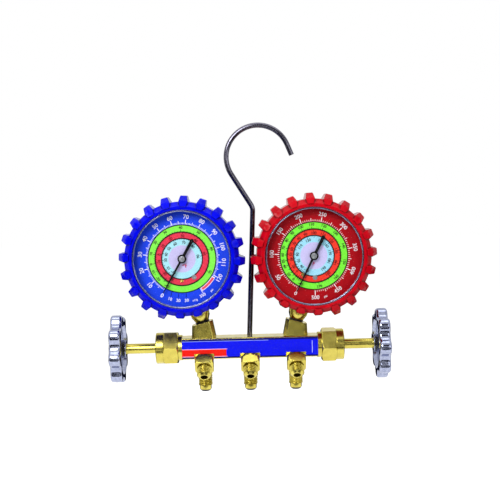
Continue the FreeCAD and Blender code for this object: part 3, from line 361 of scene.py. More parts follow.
def moulded_rubber(name, light, dark, painted_shade_colour):
    """Injection-moulded PVC rubber: full colour, satin skin, fine grain, painted shade in corners."""
    material, tree = new_material(name)
    place = add_node(tree, "ShaderNodeTexCoord").outputs["Object"]
    clouds = add_node(tree, "ShaderNodeTexNoise", values={
        "Vector": place, "Scale": 1 / (cloud_mm * MM), "Detail": 3.0})
    clouded = add_node(tree, "ShaderNodeMapRange", values={"Value": clouds.outputs["Fac"], **NOISE_RANGE})
    skin_tone = add_node(tree, "ShaderNodeMix", {"data_type": "RGBA"}, {
        "Factor": clouded.outputs["Result"], "A": linear(light), "B": linear(dark)})
    corner_shade_ao = add_node(tree, "ShaderNodeAmbientOcclusion", {"samples": 8, "only_local": True}, {
        "Distance": painted_shade_reach_mm * MM})
    painted_shade_mask = add_node(tree, "ShaderNodeMapRange", values={
        "Value": corner_shade_ao.outputs["AO"], "From Min": painted_shade_openness[0],
        "From Max": painted_shade_openness[1]})
    colour = add_node(tree, "ShaderNodeMix", {"data_type": "RGBA"}, {
        "Factor": painted_shade_mask.outputs["Result"], "A": linear(painted_shade_colour), "B": skin_tone.outputs["Result"]})
    grain = add_node(tree, "ShaderNodeTexNoise", values={
        "Vector": place, "Scale": 1 / (mould_grain_mm * MM), "Detail": 2.0})
    satin = add_node(tree, "ShaderNodeMapRange", values={
        "Value": grain.outputs["Fac"], "To Min": satin_roughness[0],
        "To Max": satin_roughness[1], **NOISE_RANGE})
    edge = add_node(tree, "ShaderNodeBevel", {"samples": 4}, {"Radius": mould_edge_mm * MM})
    relief = add_node(tree, "ShaderNodeBump", values={
        "Strength": 0.4, "Distance": mould_grain_depth_mm * MM,
        "Height": grain.outputs["Fac"], "Normal": edge.outputs["Normal"]})
    shader = add_node(tree, "ShaderNodeBsdfPrincipled", values={
        "Base Color": colour.outputs["Result"], "Roughness": satin.outputs["Result"],
        "IOR": rubber_ior, "Specular IOR Level": boot_gloss, "Normal": relief.outputs["Normal"]})
    add_node(tree, "ShaderNodeOutputMaterial", values={"Surface": shader.outputs["BSDF"]})
    return material


print("grain of", mould_grain_mm, "mm and corners shaded over", painted_shade_reach_mm, "mm")

# %% Make the boot rubbers
RUBBER = {
    # The third tone of each boot is painted shade for the corners between the lugs and the ring.
    "low": moulded_rubber("rubber_royal_blue", "0006DC", "0004C2", "00027C"),
    "high": moulded_rubber("rubber_bright_red", "C20418", "AA0212", "6C0008"),
}
print("boot rubbers:", [material.name for material in RUBBER.values()])

# %% [markdown]
# ## Enamel, ink and seals
#
# Gauge cases are stove-enamelled, dials and labels are screen-printed, and seals are nitrile rubber
# or PTFE. All of them show one even colour with a slight mottle, where the coat or the moulding is a
# little thicker or thinner. A function for each would repeat the same few nodes, so one makes them
# all, with a colour, gloss and depth of its own for each. Ink under a lens and film on a label catch
# little light, so they share a low gloss.

# %% Even finish
# The mottle of screen ink is about 0.2 mm, too fine for the picture: drawn coarser.
mottle_mm = 1.2
coat_edge_mm = 0.15
# Enamel, ink and rubber all have an IOR near 1.5; enamel is typically 0.2 to 0.4 rough, ink 0.4.
coat_ior = 1.5
coat_roughness_drift = 0.1
ink_gloss = 0.12


def even_finish(name, light, dark, roughness=0.4, relief_mm=0.01, gloss=0.5):
    """Enamel, ink, film or a plain moulding: one colour, faintly mottled, with soft edges."""
    material, tree = new_material(name)
    place = add_node(tree, "ShaderNodeTexCoord").outputs["Object"]
    mottle = add_node(tree, "ShaderNodeTexNoise", values={
        "Vector": place, "Scale": 1 / (mottle_mm * MM), "Detail": 3.0})
    mottled = add_node(tree, "ShaderNodeMapRange", values={"Value": mottle.outputs["Fac"], **NOISE_RANGE})
    colour = add_node(tree, "ShaderNodeMix", {"data_type": "RGBA"}, {
        "Factor": mottled.outputs["Result"], "A": linear(light), "B": linear(dark)})
    sheen = add_node(tree, "ShaderNodeMapRange", values={
        "Value": mottle.outputs["Fac"], "To Min": roughness,
        "To Max": roughness + coat_roughness_drift, **NOISE_RANGE})
    edge = add_node(tree, "ShaderNodeBevel", {"samples": 4}, {"Radius": coat_edge_mm * MM})
    relief = add_node(tree, "ShaderNodeBump", values={
        "Strength": 0.4, "Distance": relief_mm * MM,
        "Height": mottle.outputs["Fac"], "Normal": edge.outputs["Normal"]})
    shader = add_node(tree, "ShaderNodeBsdfPrincipled", values={
        "Base Color": colour.outputs["Result"], "Roughness": sheen.outputs["Result"],
        "IOR": coat_ior, "Specular IOR Level": gloss, "Normal": relief.outputs["Normal"]})
    add_node(tree, "ShaderNodeOutputMaterial", values={"Surface": shader.outputs["BSDF"]})
    return material


print("mottle of", mottle_mm, "mm on enamel, ink and seals")

# %% Make the enamels and seals
# Stoved enamel on the cases is black with a soft shine.
BLACK_ENAMEL = even_finish("enamel_black", "1A1A1C", "101012", 0.3)
# Moulded nitrile is a matt, warm black, and PTFE a waxy white.
# The same matt black also paints the shade on the gauge necks, between the boss and the socket.
SEAL_BLACK_AND_PAINTED_SHADE = even_finish("nitrile_black_and_painted_shade", "17140F", "0C0A08", 0.5, 0.03)
PTFE = even_finish("ptfe_white", "ECEBE4", "DAD8CE", 0.5)
# The pointers are sprayed matt black, so that no glare hides a reading.
POINTER_BLACK = even_finish("pointer_matt_black", "08080A", "040405", 0.45, gloss=ink_gloss)
# The label is printed vinyl film: a flat, bright blue.
LABEL_BLUE = even_finish("label_film_blue", "0C16EC", "0A12D8", 0.2, gloss=ink_gloss)
coats = (BLACK_ENAMEL, SEAL_BLACK_AND_PAINTED_SHADE, PTFE, POINTER_BLACK, LABEL_BLUE)
print("coats and seals:", [coat.name for coat in coats])

# %% [markdown]
# ## The lens
#
# The lens is cast acrylic, clear and glossy, with the finest scuffs of wiping. The eye should see
# the dial through it almost unchanged, with only a trace of reflection. A glass shader alone would
# stop the lamps' light and leave the dial black, because Cycles' shadow rays don't bend through it.
# So the Light Path node swaps in a plain transparent shader for shadow and diffuse rays.

# %% Make the lens acrylic
# Wiping leaves scuffs of a few millimetres. Acrylic has an IOR of 1.49 and is almost smooth.
scuff_mm = 3.0
acrylic_ior = 1.49
scuff_roughness = 0.03


def clear_lens(name):
    """Cast acrylic: the dial shows through it unchanged, under a trace of reflection."""
    material, tree = new_material(name)
    place = add_node(tree, "ShaderNodeTexCoord").outputs["Object"]
    scuffs = add_node(tree, "ShaderNodeTexNoise", values={
        "Vector": place, "Scale": 1 / (scuff_mm * MM), "Detail": 5.0})
    haze = add_node(tree, "ShaderNodeMapRange", values={
        "Value": scuffs.outputs["Fac"], "To Min": 0.0, "To Max": scuff_roughness, **NOISE_RANGE})
    acrylic = add_node(tree, "ShaderNodeBsdfPrincipled", values={
        "Base Color": linear("FFFFFF"), "Transmission Weight": 1.0, "IOR": acrylic_ior,
        "Specular IOR Level": 0.2, "Roughness": haze.outputs["Result"]})
    through = add_node(tree, "ShaderNodeBsdfTransparent", values={"Color": linear("FFFFFF")})
    ray = add_node(tree, "ShaderNodeLightPath")
    lighting = add_node(tree, "ShaderNodeMath", {"operation": "MAXIMUM"}, {
        0: ray.outputs["Is Shadow Ray"], 1: ray.outputs["Is Diffuse Ray"]})
    either = add_node(tree, "ShaderNodeMixShader", values={
        0: lighting.outputs["Value"], 1: acrylic.outputs["BSDF"], 2: through.outputs["BSDF"]})
    add_node(tree, "ShaderNodeOutputMaterial", values={"Surface": either.outputs["Shader"]})
    return material


LENS = clear_lens("acrylic_lens")
print("materials so far:", len(bpy.data.materials))

# %% [markdown]
# ## Pieces that keep their CAD shape
#
# The bar, valves, wheels, hook, cases and works are right as they come from the CAD. Their meshes
# stay untouched, and each only gets its finish. A material can sit on the mesh or on the object;
# here the object's slots are filled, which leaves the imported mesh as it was. The record names a
# finish for every node, so one table is enough, with one exception: the turned valve pieces get the
# brass whose rings run round their own axis.

# %% Dress the CAD nodes
SLOT_FINISH = {
    "brass": BRASS_BAR, "works_brass": BRASS_WORKS, "tube_bronze": BRONZE, "spring_bronze": BRONZE,
    "wheel_chrome": CHROME_CAST, "bezel_chrome": CHROME_RING, "hook_steel": NICKEL_ROD,
    "screw_steel": ZINC_SCREW, "case_steel": BLACK_ENAMEL, "lens_clear": LENS,
    "low_rubber": RUBBER["low"], "high_rubber": RUBBER["high"], "seal_rubber": SEAL_BLACK_AND_PAINTED_SHADE,
    "packing_ptfe": PTFE, "low_dial": BLACK_ENAMEL, "high_dial": BLACK_ENAMEL,
    "pointer_black": POINTER_BLACK, "label_foil": LABEL_BLUE,
}
TURNED_NODES = ("bonnet", "valve_stem", "piston")


def dress(node_name, material):
    """Fills the object's own material slots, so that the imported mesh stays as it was."""
    target = frame["nodes"][node_name]
    for place in range(max(1, len(target.material_slots))):
        if place < len(target.material_slots):
            target.material_slots[place].link = "OBJECT"
            target.material_slots[place].material = material
        else:
            target.data.materials.append(material)


for subpart in frame["record"]["subparts"]:
    finish = SLOT_FINISH[subpart["material_slot"]]
    if subpart["node"].split("_", 1)[-1] in TURNED_NODES:
        finish = BRASS_TURNED_X
    dress(subpart["node"], finish)

# %% [markdown]
# ## Boots: the ring
#
# A boot is stretched over the gauge case to take knocks. Its body is a ring with a sloped front, a
# lip over the bezel and an open back, and at the bottom it has a notch that lets the brass socket
# out. The ring is turned from a profile. The notch could be left out of the profile's sweep, but a
# round wall with a straight-sided gap is awkward to stitch, so a block is cut away with a Boolean
# modifier, whose result becomes the mesh.

# %% Turn the ring and cut its notch
# Depth from the dial's centre line (front is negative) and radius, in mm.
boot_ring = [
    (12.5, 33.0), (12.5, 40.8), (11.6, 41.6), (10.5, 42.4), (8.5, 43.0), (-20.8, 43.0), (-22.0, 42.8),
    (-25.4, 40.2), (-26.2, 39.3), (-26.2, 37.3), (-25.9, 36.9), (-25.2, 36.9), (-25.2, 40.05),
    (10.6, 40.05), (10.6, 33.0), (12.5, 33.0),
]
ring_segments = 160
notch_half_width = 7.6
notch_front = -7.0
notch_depth = 14.0
notch_drop = -44.0
notch_height = 14.0


def notched_ring(side):
    """The boot's body as an object, and the mesh that is left of it after the cut."""
    ring = bmesh.new()
    lathe(ring, boot_ring, ring_segments)
    bmesh.ops.remove_doubles(ring, verts=ring.verts, dist=0.001)
    ring.transform(Matrix.Rotation(math.radians(-90), 4, "X"))
    piece = make_object(side + "_boot_skin", ring, GAUGE[side], [RUBBER[side]])
    block = bmesh.new()
    bmesh.ops.create_cube(block, size=1.0)
    size = Matrix.Diagonal((2 * notch_half_width, 2 * notch_depth, notch_height, 1))
    block.transform(Matrix.Translation((0, notch_front + notch_depth, notch_drop)) @ size)
    cutter = make_object("notch_cutter", block, GAUGE[side], [])
    cut = piece.modifiers.new("notch", "BOOLEAN")
    cut.operation = "DIFFERENCE"
    cut.object = cutter
    evaluated = piece.evaluated_get(bpy.context.evaluated_depsgraph_get())
    notched = bpy.data.meshes.new_from_object(evaluated)
    piece.modifiers.clear()
    bpy.data.objects.remove(cutter)
    return piece, notched


rings = {side: notched_ring(side) for side in SIDES}
print("ring faces after the cut:", len(rings["low"][1].polygons))

# %% [markdown]
# ## Boots: the lugs
#
# Twenty lugs stand round the ring. Each has a shield-shaped front, sloped facets up to a narrow tip
# and a long tail to the back, and these facets are what makes the boot sparkle. Moving the points
# of a cube would take many steps. A lug is convex, so it is drawn as the hull of ten corners and
# their mirror images, and then its edges get a small bevel, as a mould leaves them. The lug over
# the socket ends where the notch starts, and it and its neighbours are shorter.

# %% Lug sizes
lug_count = 20
# Half width across, distance from the dial's centre and depth, in mm; each corner is mirrored.
lug_corners = [
    (2.4, 39.0, -27.0), (3.5, 43.1, -24.9), (0.0, 44.1, -24.7),
    (2.5, 47.4, -18.4), (2.6, 47.4, -2.5), (3.3, 43.6, 2.8), (4.3, 41.2, 2.8),
    (4.3, 41.2, -17.0), (4.0, 41.8, -22.0), (2.7, 38.0, -21.0),
]
socket_lug = 10
short_lugs = (9, 10, 11)
short_lug_radius = 45.0
no_limit = 99.0
lug_bevel = 0.3
flat_hull_angle = 2.0
print("a lug stands", max(radius for across, radius, depth in lug_corners), "mm from the dial's centre")


# %% Draw the lugs
def lug(drawing, turn, back_limit, tip_limit):
    """One lug, at an angle clockwise from twelve o'clock as seen from the front."""
    single = bmesh.new()
    for across, radius, depth in lug_corners:
        for mirror in ({1, -1} if across else {1}):
            single.verts.new(Vector((mirror * across, min(depth, back_limit), min(radius, tip_limit))))
    bmesh.ops.convex_hull(single, input=single.verts)
    loose = [vert for vert in single.verts if not vert.link_faces]
    bmesh.ops.delete(single, geom=loose, context="VERTS")
    bmesh.ops.dissolve_limit(single, angle_limit=math.radians(flat_hull_angle),
                             verts=single.verts, edges=single.edges)
    bmesh.ops.bevel(single, geom=single.edges[:] + single.verts[:], offset=lug_bevel, segments=2,
                    affect="EDGES", clamp_overlap=True)
    single.transform(Matrix.Rotation(math.radians(turn), 4, "Y"))
    shape = bpy.data.meshes.new("lug")
    single.to_mesh(shape)
    single.free()
    drawing.from_mesh(shape)
    bpy.data.meshes.remove(shape)


def lug_crown(side):
    """All the lugs of a boot in one mesh, in the tool's frame."""
    lugs = bmesh.new()
    for place in range(lug_count):
        back_limit = notch_front if place == socket_lug else no_limit
        tip_limit = short_lug_radius if place in short_lugs else no_limit
        lug(lugs, 360 / lug_count * place, back_limit, tip_limit)
    lugs.transform(GAUGE[side])
    crown = bpy.data.meshes.new("lugs")
    lugs.to_mesh(crown)
    lugs.free()
    return crown


crowns = {side: lug_crown(side) for side in SIDES}
print("lug faces:", {side: len(crown.polygons) for side, crown in crowns.items()})

# %% [markdown]
# ## Boots: one moulding
#
# Ring and lugs come out of one mould, so they become one object. Fusing them with a Boolean would
# give one skin, but it also leaves slivers where twenty lugs cross the ring. The lugs are simply
# sunk into it, which looks the same.

# %% Put the boots together
boot_sharp_angle = 24
for side in SIDES:
    piece, notched = rings[side]
    drawing = bmesh.new()
    drawing.from_mesh(notched)
    drawing.from_mesh(crowns[side])
    drawing.to_mesh(piece.data)
    drawing.free()
    bpy.data.meshes.remove(notched)
    bpy.data.meshes.remove(crowns[side])
    smooth(piece, boot_sharp_angle)
    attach(piece, "manifold")
    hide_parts(side + "_boot")
    print(piece.name, "has", len(piece.data.polygons), "faces")

# %% [markdown]
# ## A screw thread
#
# The CAD has plain cylinders where the fittings have 7/16-20 threads: 20 turns to the inch, so
# 1.27 mm a turn. A bump texture would leave the outline straight, and stacked rings would not
# climb. A real thread is one groove that climbs by its pitch in a turn. The helper makes a grid of
# columns round the axis and shifts each column up by its share of the pitch, so the crest runs
# round without a step. Heights are cut off at both ends, which leaves them flat.

# %% Thread helper
# Share of the pitch and share of the depth: a flat crest, a slope, a flat root.
thread_form = ((0.0, 0.0), (0.13, 0.0), (0.5, 1.0), (0.63, 1.0))
thread_segments = 48


def thread(drawing, crest, depth, pitch, start, end):
    """A helical thread about Z between two heights."""
    turns = math.ceil((end - start) / pitch) + 1
    columns = []
    for index in range(thread_segments + 1):
        share = index / thread_segments
        angle = 2 * math.pi * share
        column = []
        for turn in range(turns):
            for along, down in thread_form:
                height = start + pitch * (turn + along + share - 1)
                height = min(max(height, start), end)
                radius = crest - depth * down
                point = Vector((radius * math.cos(angle), radius * math.sin(angle), height))
                column.append(drawing.verts.new(point))
        columns.append(column)
    for left, right in zip(columns, columns[1:]):
        for index in range(len(left) - 1):
            drawing.faces.new((left[index], right[index], right[index + 1], left[index + 1]))


print("points in one turn of the thread's section:", len(thread_form))

# %% [markdown]
# ## Hose fittings
#
# Three flare fittings point forwards and down at 45 degrees. Each starts as a square brass shank
# for the wrench, and its corners are turned down in steps near both ends. Then come a relief
# groove, the thread and a cone with the bore, against which the flared hose seals. The shank is a
# skin whose rows are squares cut off by a circle, so the facets fade into the round as on the
# turned original; a cube with bevels would round all its edges alike.

# %% Draw the square shank
port_spacing = 35.0
port_places = {"low": -port_spacing, "centre": 0.0, "high": port_spacing}
shank_half = 7.1
shank_corner = 1.0
shank_start = 12.02
shank_end = 20.12
relief_radius = 4.6
# Height along the axis and the radius to which the corners are turned down there.
shank_limits = [
    (shank_start, shank_half), (shank_start + 0.9, 8.1), (shank_start + 1.8, 9.1),
    (shank_start + 2.8, 9.9), (shank_end - 1.4, 9.9), (shank_end - 0.9, 9.1),
    (shank_end - 0.4, 8.2), (shank_end, 7.4), (shank_end, relief_radius - 0.2),
]


def square_outline(angle, limit):
    """Distance from the axis to a square with cut corners, turned down to a limit."""
    across = abs(math.cos(angle))
    up = abs(math.sin(angle))
    flat = shank_half / max(across, up)
    corner = (2 * shank_half - shank_corner) / (across + up)
    return min(flat, corner, limit)


def square_shank(drawing):
    """The wrench square, its corners fading into the round near both ends."""
    rows = [ring_row(lambda angle: square_outline(angle, limit), height, TURNED_SEGMENTS)
            for height, limit in shank_limits]
    skin(drawing, rows, closed_ends=False)


print("shank across its flats, mm:", 2 * shank_half)

# %% Draw a hose fitting
thread_radius = 5.55
thread_pitch = 1.27
thread_depth = 0.72
core_radius = thread_radius - thread_depth
thread_start = 20.92
thread_end = 26.32
nose_end = 28.32
nose_radius = 3.55
nose_edge = 0.15
bore_radius = 2.75
bore_edge = 0.1
bore_floor = 14.0
axis_radius = 0.2
port_lean = 135.0
port_profile = [
    (shank_end - 0.5, relief_radius), (thread_start, relief_radius), (thread_start, core_radius),
    (thread_end, core_radius), (thread_end, thread_radius - 0.4),
    (thread_end + nose_edge, thread_radius - 0.55), (nose_end - nose_edge, nose_radius + 0.1),
    (nose_end, nose_radius - 0.05), (nose_end, bore_radius + bore_edge),
    (nose_end - bore_edge, bore_radius), (bore_floor, bore_radius), (bore_floor, axis_radius),
]


def hose_fitting(place):
    """One fitting: square shank, turned nose with its bore, and the thread."""
    drawing = bmesh.new()
    square_shank(drawing)
    lathe(drawing, port_profile)
    thread(drawing, thread_radius, thread_depth, thread_pitch, thread_start, thread_end)
    lean = Matrix.Rotation(math.radians(port_lean), 4, "X")
    shift = Matrix.Translation((port_places[place], 0, 0))
    piece = make_object("hose_fitting_" + place, drawing, BAR @ shift @ lean, [BRASS_TURNED_Z])
    smooth(piece)
    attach(piece, "manifold")
    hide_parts("hose_port_" + place)


print("thread turns on a fitting:", round((thread_end - thread_start) / thread_pitch, 2))

# %% [markdown]
# ## Parking stubs
#
# Behind each fitting a blank brass stub stands straight down. The free end of a hose is screwed
# onto it, so that it stays clean when it isn't in use. It is turned all over: a collar, a groove,
# the thread and a ring, and its end is a dark plug. It is made like the fitting, from a profile and
# a thread, and a second lathe call gives the plug its own material.

# %% Draw a parking stub, then make all six pieces
stub_setback = 3.6
stub_thread_top = -20.0
stub_thread_foot = -29.7
stub_end = -33.0
# Height below the bar's middle and radius: collar, groove, core of the thread, ring.
stub_profile = [
    (-7.9, 2.0), (-7.9, 5.4), (-8.0, 5.6), (-8.3, 5.7), (-13.7, 5.7), (-14.0, 5.45), (-14.0, 4.6),
    (stub_thread_top, 4.6), (stub_thread_top, core_radius), (stub_thread_foot, core_radius),
    (stub_thread_foot, 4.6), (-32.6, 4.6), (stub_end, 4.5),
]
plug_profile = [(stub_end, 4.5), (-33.2, 4.4), (-34.3, 3.3), (-34.5, 3.0), (-34.5, axis_radius)]


def parking_stub(place):
    """One blank stub: turned body, dark plug and the thread."""
    drawing = bmesh.new()
    lathe(drawing, stub_profile)
    # The plug takes the matt black of the seals, so the stub's end shows dark.
    lathe(drawing, plug_profile, ink=1)
    thread(drawing, thread_radius, thread_depth, thread_pitch, stub_thread_foot, stub_thread_top)
    shift = Matrix.Translation((port_places[place], stub_setback, 0))
    piece = make_object("parking_stub_" + place, drawing, BAR @ shift, [BRASS_TURNED_Z, SEAL_BLACK_AND_PAINTED_SHADE])
    smooth(piece)
    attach(piece, "manifold")
    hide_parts("hose_anchor_" + place)


for place in port_places:
    hose_fitting(place)
    parking_stub(place)
print("threads of", thread_pitch, "mm pitch on", 2 * len(port_places), "fittings")

# %% [markdown]
# ## Gauge neck threads
#
# Each gauge screws into its boss with a taper thread, and a millimetre of it shows between the boss
# and the socket, dark with shade in the narrow gap. The CAD has a plain neck there, and dark paint on
# it would look flat, so a short sleeve with a real thread goes round it, drawn matt black as painted
# shade.

# %% Make the neck threads
neck_top = -50.8
neck_showing = 1.3
neck_core = 5.2
neck_crest = 5.45
neck_depth = 0.3
neck_pitch = 0.94
neck_segments = 48
for side in SIDES:
    drawing = bmesh.new()
    lathe(drawing, [(neck_top - neck_showing, neck_core), (neck_top, neck_core)], neck_segments)
    thread(drawing, neck_crest, neck_depth, neck_pitch, neck_top - neck_showing, neck_top)
    # The sleeve's matt black is painted shade for the narrow gap between the boss and the socket.
    neck = make_object(side + "_neck_painted_shade", drawing, GAUGE[side], [SEAL_BLACK_AND_PAINTED_SHADE])
    smooth(neck)
    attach(neck, "manifold")
print("neck threads show", neck_showing, "mm")

# %% [markdown]
# ## Dials: bands and ticks
#
# A dial is screen-printed, one ink over another: a coloured field, a green ring, a red ring and a
# pale centre, then lines, ticks and numbers. An image texture would blur in a close view, so every
# ink is a flat mesh instead, 15 thousandths of a millimetre above the one below it, which is enough
# to keep the renderer from mixing them up. Neighbouring faces share their points, so a band shades
# evenly all the way round.

# %% Band and tick helpers
dial_depth = 17.0
ink_step = 0.015
band_step = 2.5
field_layer = 1
band_layer = 2
scale_layer = 3
fine_layer = 4


def at_dial(radius, angle, layer):
    """A point on the dial, the angle clockwise from the top as seen from the front."""
    turn = math.radians(angle)
    return Vector((radius * math.sin(turn), -dial_depth - ink_step * layer, radius * math.cos(turn)))


def print_band(drawing, inner, outer, start, end, ink, layer):
    """A band between two radii and two angles; a full circle closes on itself."""
    steps = max(1, round(abs(end - start) / band_step))
    closed = abs(end - start) == 360
    rails = []
    for index in range(steps if closed else steps + 1):
        angle = start + (end - start) * index / steps
        near = drawing.verts.new(at_dial(inner, angle, layer))
        far = drawing.verts.new(at_dial(outer, angle, layer))
        rails.append((near, far))
    for index in range(steps):
        near, far = rails[index]
        next_near, next_far = rails[(index + 1) % len(rails)]
        drawing.faces.new((near, next_near, next_far, far)).material_index = ink


def print_tick(drawing, inner, outer, angle, width, ink, layer):
    """A narrow band about one angle, its width given at the outer end."""
    half = math.degrees(width / 2 / outer)
    print_band(drawing, inner, outer, angle - half, angle + half, ink, layer)


print("steps in a full band:", round(360 / band_step))

# %% [markdown]
# ## Dials: numbers
#
# The numbers stand upright along the arc, and in the lower half they are turned over so that they
# can be read. Blender's text object sets the type, and its outline becomes a flat mesh that is
# turned to its place on the dial. Small type gets a little weight, as bold faces have, or its thin
# strokes would fade at this size.

# %% Text helpers
flip_from = 93.0
flip_to = 250.0
cap_height_to_size = 1.4
text_weight = 0.018
bold_weight = 0.04
outline_resolution = 3


def letters(text, height, weight):
    """A short text as a flat mesh about its middle, in millimetres."""
    curve = bpy.data.curves.new("numeral", "FONT")
    curve.body = text
    curve.size = height * cap_height_to_size
    curve.offset = weight * height
    curve.align_x = "CENTER"
    curve.align_y = "CENTER"
    curve.resolution_u = outline_resolution
    holder = bpy.data.objects.new("numeral", curve)
    bpy.context.scene.collection.objects.link(holder)
    graph = bpy.context.evaluated_depsgraph_get()
    mesh = bpy.data.meshes.new_from_object(holder.evaluated_get(graph))
    bpy.data.objects.remove(holder)
    bpy.data.curves.remove(curve)
    return mesh


def print_text(drawing, text, radius, angle, height, ink, layer, weight=text_weight):
    """Text on an arc of the dial, turned over where it would stand on its head."""
    mesh = letters(text, height, weight)
    flipped = flip_from < angle % 360 < flip_to
    upright = Matrix.Rotation(math.radians(90), 4, "X")
    about = Matrix.Rotation(math.radians(180), 4, "Y") if flipped else Matrix.Identity(4)
    move = Matrix.Translation((0, -dial_depth - ink_step * layer, radius))
    turn = Matrix.Rotation(math.radians(angle), 4, "Y")
    mesh.transform(turn @ move @ about @ upright)
    known = len(drawing.faces)
    drawing.from_mesh(mesh)
    drawing.faces.ensure_lookup_table()
    for index in range(known, len(drawing.faces)):
        drawing.faces[index].material_index = ink
    bpy.data.meshes.remove(mesh)


print("text turns over between", flip_from, "and", flip_to, "degrees")

# %% [markdown]
# ## Dials: the pressure scale
#
# The outer scale reads pounds per square inch, 0 to 120 on the low side and 0 to 500 on the high
# side. A gauge with a bent tube is close to linear, so every step takes the same angle, and a loop
# sets the ticks in three lengths. The angles of the zeros and the steps were taken from the
# photograph.

# %% Pressure scale
DIALS = {
    "low": {"zero": 225.0, "step": 22.4, "unit": 10, "last": 120, "parts": 10, "numbers": 3.1},
    "high": {"zero": 192.0, "step": 33.2, "unit": 50, "last": 500, "parts": 10, "numbers": 2.9},
}
scale_line = 25.9
number_radius = 31.5
# Outer end and width of a tick, in mm.
TICKS = {"major": (29.4, 0.55), "middle": (28.2, 0.42), "minor": (27.2, 0.32)}


def pressure_angle(side, psi):
    """The angle of a pressure on a dial, clockwise from the top."""
    plan = DIALS[side]
    return plan["zero"] + plan["step"] * psi / plan["unit"]


def pressure_scale(drawing, side, ink):
    """Ticks in three lengths, with a number at each long one."""
    plan = DIALS[side]
    for count in range(int(plan["last"] / plan["unit"] * plan["parts"]) + 1):
        psi = count * plan["unit"] / plan["parts"]
        angle = pressure_angle(side, psi)
        major = count % plan["parts"] == 0
        middle = count % plan["parts"] == plan["parts"] // 2
        outer, width = TICKS["major" if major else "middle" if middle else "minor"]
        print_tick(drawing, scale_line, outer, angle, width, ink["white"], scale_layer)
        if major:
            print_text(drawing, str(round(psi)), number_radius, angle, plan["numbers"],
                       ink["white"], scale_layer)


print("last pressure ticks, degrees:", {side: pressure_angle(side, DIALS[side]["last"]) for side in DIALS})

# %% [markdown]
# ## Dials: the temperature scales
#
# The three inner scales give the temperature at which a refrigerant boils at that pressure, in
# degrees Fahrenheit. Their numbers crowd at one end and spread at the other, because vapour
# pressure climbs ever faster. Spacing them by eye would look wrong, so a short formula gives the
# pressure for each temperature, and the number goes where that pressure lies. A number is left
# out where it would run into the last one.

# %% Temperature scales
REFRIGERANTS = (
    {"boils": -41.0, "curve": 10.54, "numbers": 23.4, "line": 20.5, "ticks": 1, "ink": "black"},
    {"boils": -51.0, "curve": 10.45, "numbers": 17.1, "line": 19.7, "ticks": -1, "ink": "dark"},
    {"boils": -15.0, "curve": 10.93, "numbers": 12.2, "line": 15.0, "ticks": -1, "ink": "navy"},
)
fahrenheit_zero = 459.7
atmosphere_psi = 14.7
temperature_height = 2.0
long_tick = (1.3, 0.45)
short_tick = (0.7, 0.24)
digit_room = 1.35
number_gap = 0.8
scale_fahrenheit = range(-50, 200, 2)
number_every = 10
# Up to here the short ticks of the high dial lie too close to print.
high_ticks_from = 60


def gauge_pressure(fahrenheit, refrigerant):
    """Vapour pressure over the atmosphere, in pounds per square inch."""
    absolute = fahrenheit + fahrenheit_zero
    boils = refrigerant["boils"] + fahrenheit_zero
    return atmosphere_psi * (math.exp(refrigerant["curve"] * (1 - boils / absolute)) - 1)


print("pressures at 40 F, psi:", [round(gauge_pressure(40, gas), 1) for gas in REFRIGERANTS])


# %% Draw a temperature scale
def temperature_scale(drawing, side, refrigerant, ink):
    """A tick every two degrees, and a number every ten where there is room."""
    colour = ink[refrigerant["ink"]]
    line = refrigerant["line"]
    last_label = None
    for fahrenheit in scale_fahrenheit:
        psi = gauge_pressure(fahrenheit, refrigerant)
        if not 0 <= psi <= DIALS[side]["last"]:
            continue
        angle = pressure_angle(side, psi)
        labelled = fahrenheit % number_every == 0
        if labelled or side == "low" or fahrenheit > high_ticks_from:
            length, width = long_tick if labelled else short_tick
            ends = sorted((line, line + length * refrigerant["ticks"]))
            print_tick(drawing, *ends, angle, width, colour, fine_layer)
        if labelled and last_label is not None:
            room = digit_room * len(str(fahrenheit)) + number_gap
            labelled = math.radians(angle - last_label) * refrigerant["numbers"] > room
        if labelled:
            print_text(drawing, str(fahrenheit), refrigerant["numbers"], angle, temperature_height,
                       colour, fine_layer, bold_weight)
            last_label = angle


print("temperature scales on each dial:", len(REFRIGERANTS))

# %% [markdown]
# ## Dials: vacuum and overrange
#
# The low side also reads below the atmosphere, down to 30 inches of mercury, and past 120 psi it
# has a band in which the pointer slows down so that the gauge survives 350 psi. Both have only a
# few marks, spaced after the photograph, so they are drawn one by one.

# %% Vacuum scale and overrange band
vacuum_sweep = 35.0
vacuum_last = 30
vacuum_tick_outer = 29.0
overrange_start = 496.0
overrange_end = 524.0
overrange_outer = 28.5
overrange_edge = 0.4
pink_start = overrange_start + 1.5
pink_end = overrange_end - 1.0
end_tick_angle = overrange_end + 1
end_number_angle = overrange_end + 3
end_tick_outer = 29.8
lone_tick_width = 0.45
small_number = 2.3
# Text, radius, angle and height.
VACUUM_UNIT = ("inHg", number_radius + 1.1, 179, 1.5)
OVERRANGE_UNIT = ("psi", number_radius + 0.9, 513, 1.6)


def vacuum_scale(drawing, ink):
    """Three marks below zero, in inches of mercury."""
    for inches in (10, 20, vacuum_last):
        angle = DIALS["low"]["zero"] - vacuum_sweep * inches / vacuum_last
        print_tick(drawing, scale_line, vacuum_tick_outer, angle, lone_tick_width, ink["navy"], scale_layer)
        print_text(drawing, str(inches), number_radius, angle, small_number, ink["white"], scale_layer)
    print_text(drawing, *VACUUM_UNIT, ink["white"], scale_layer)


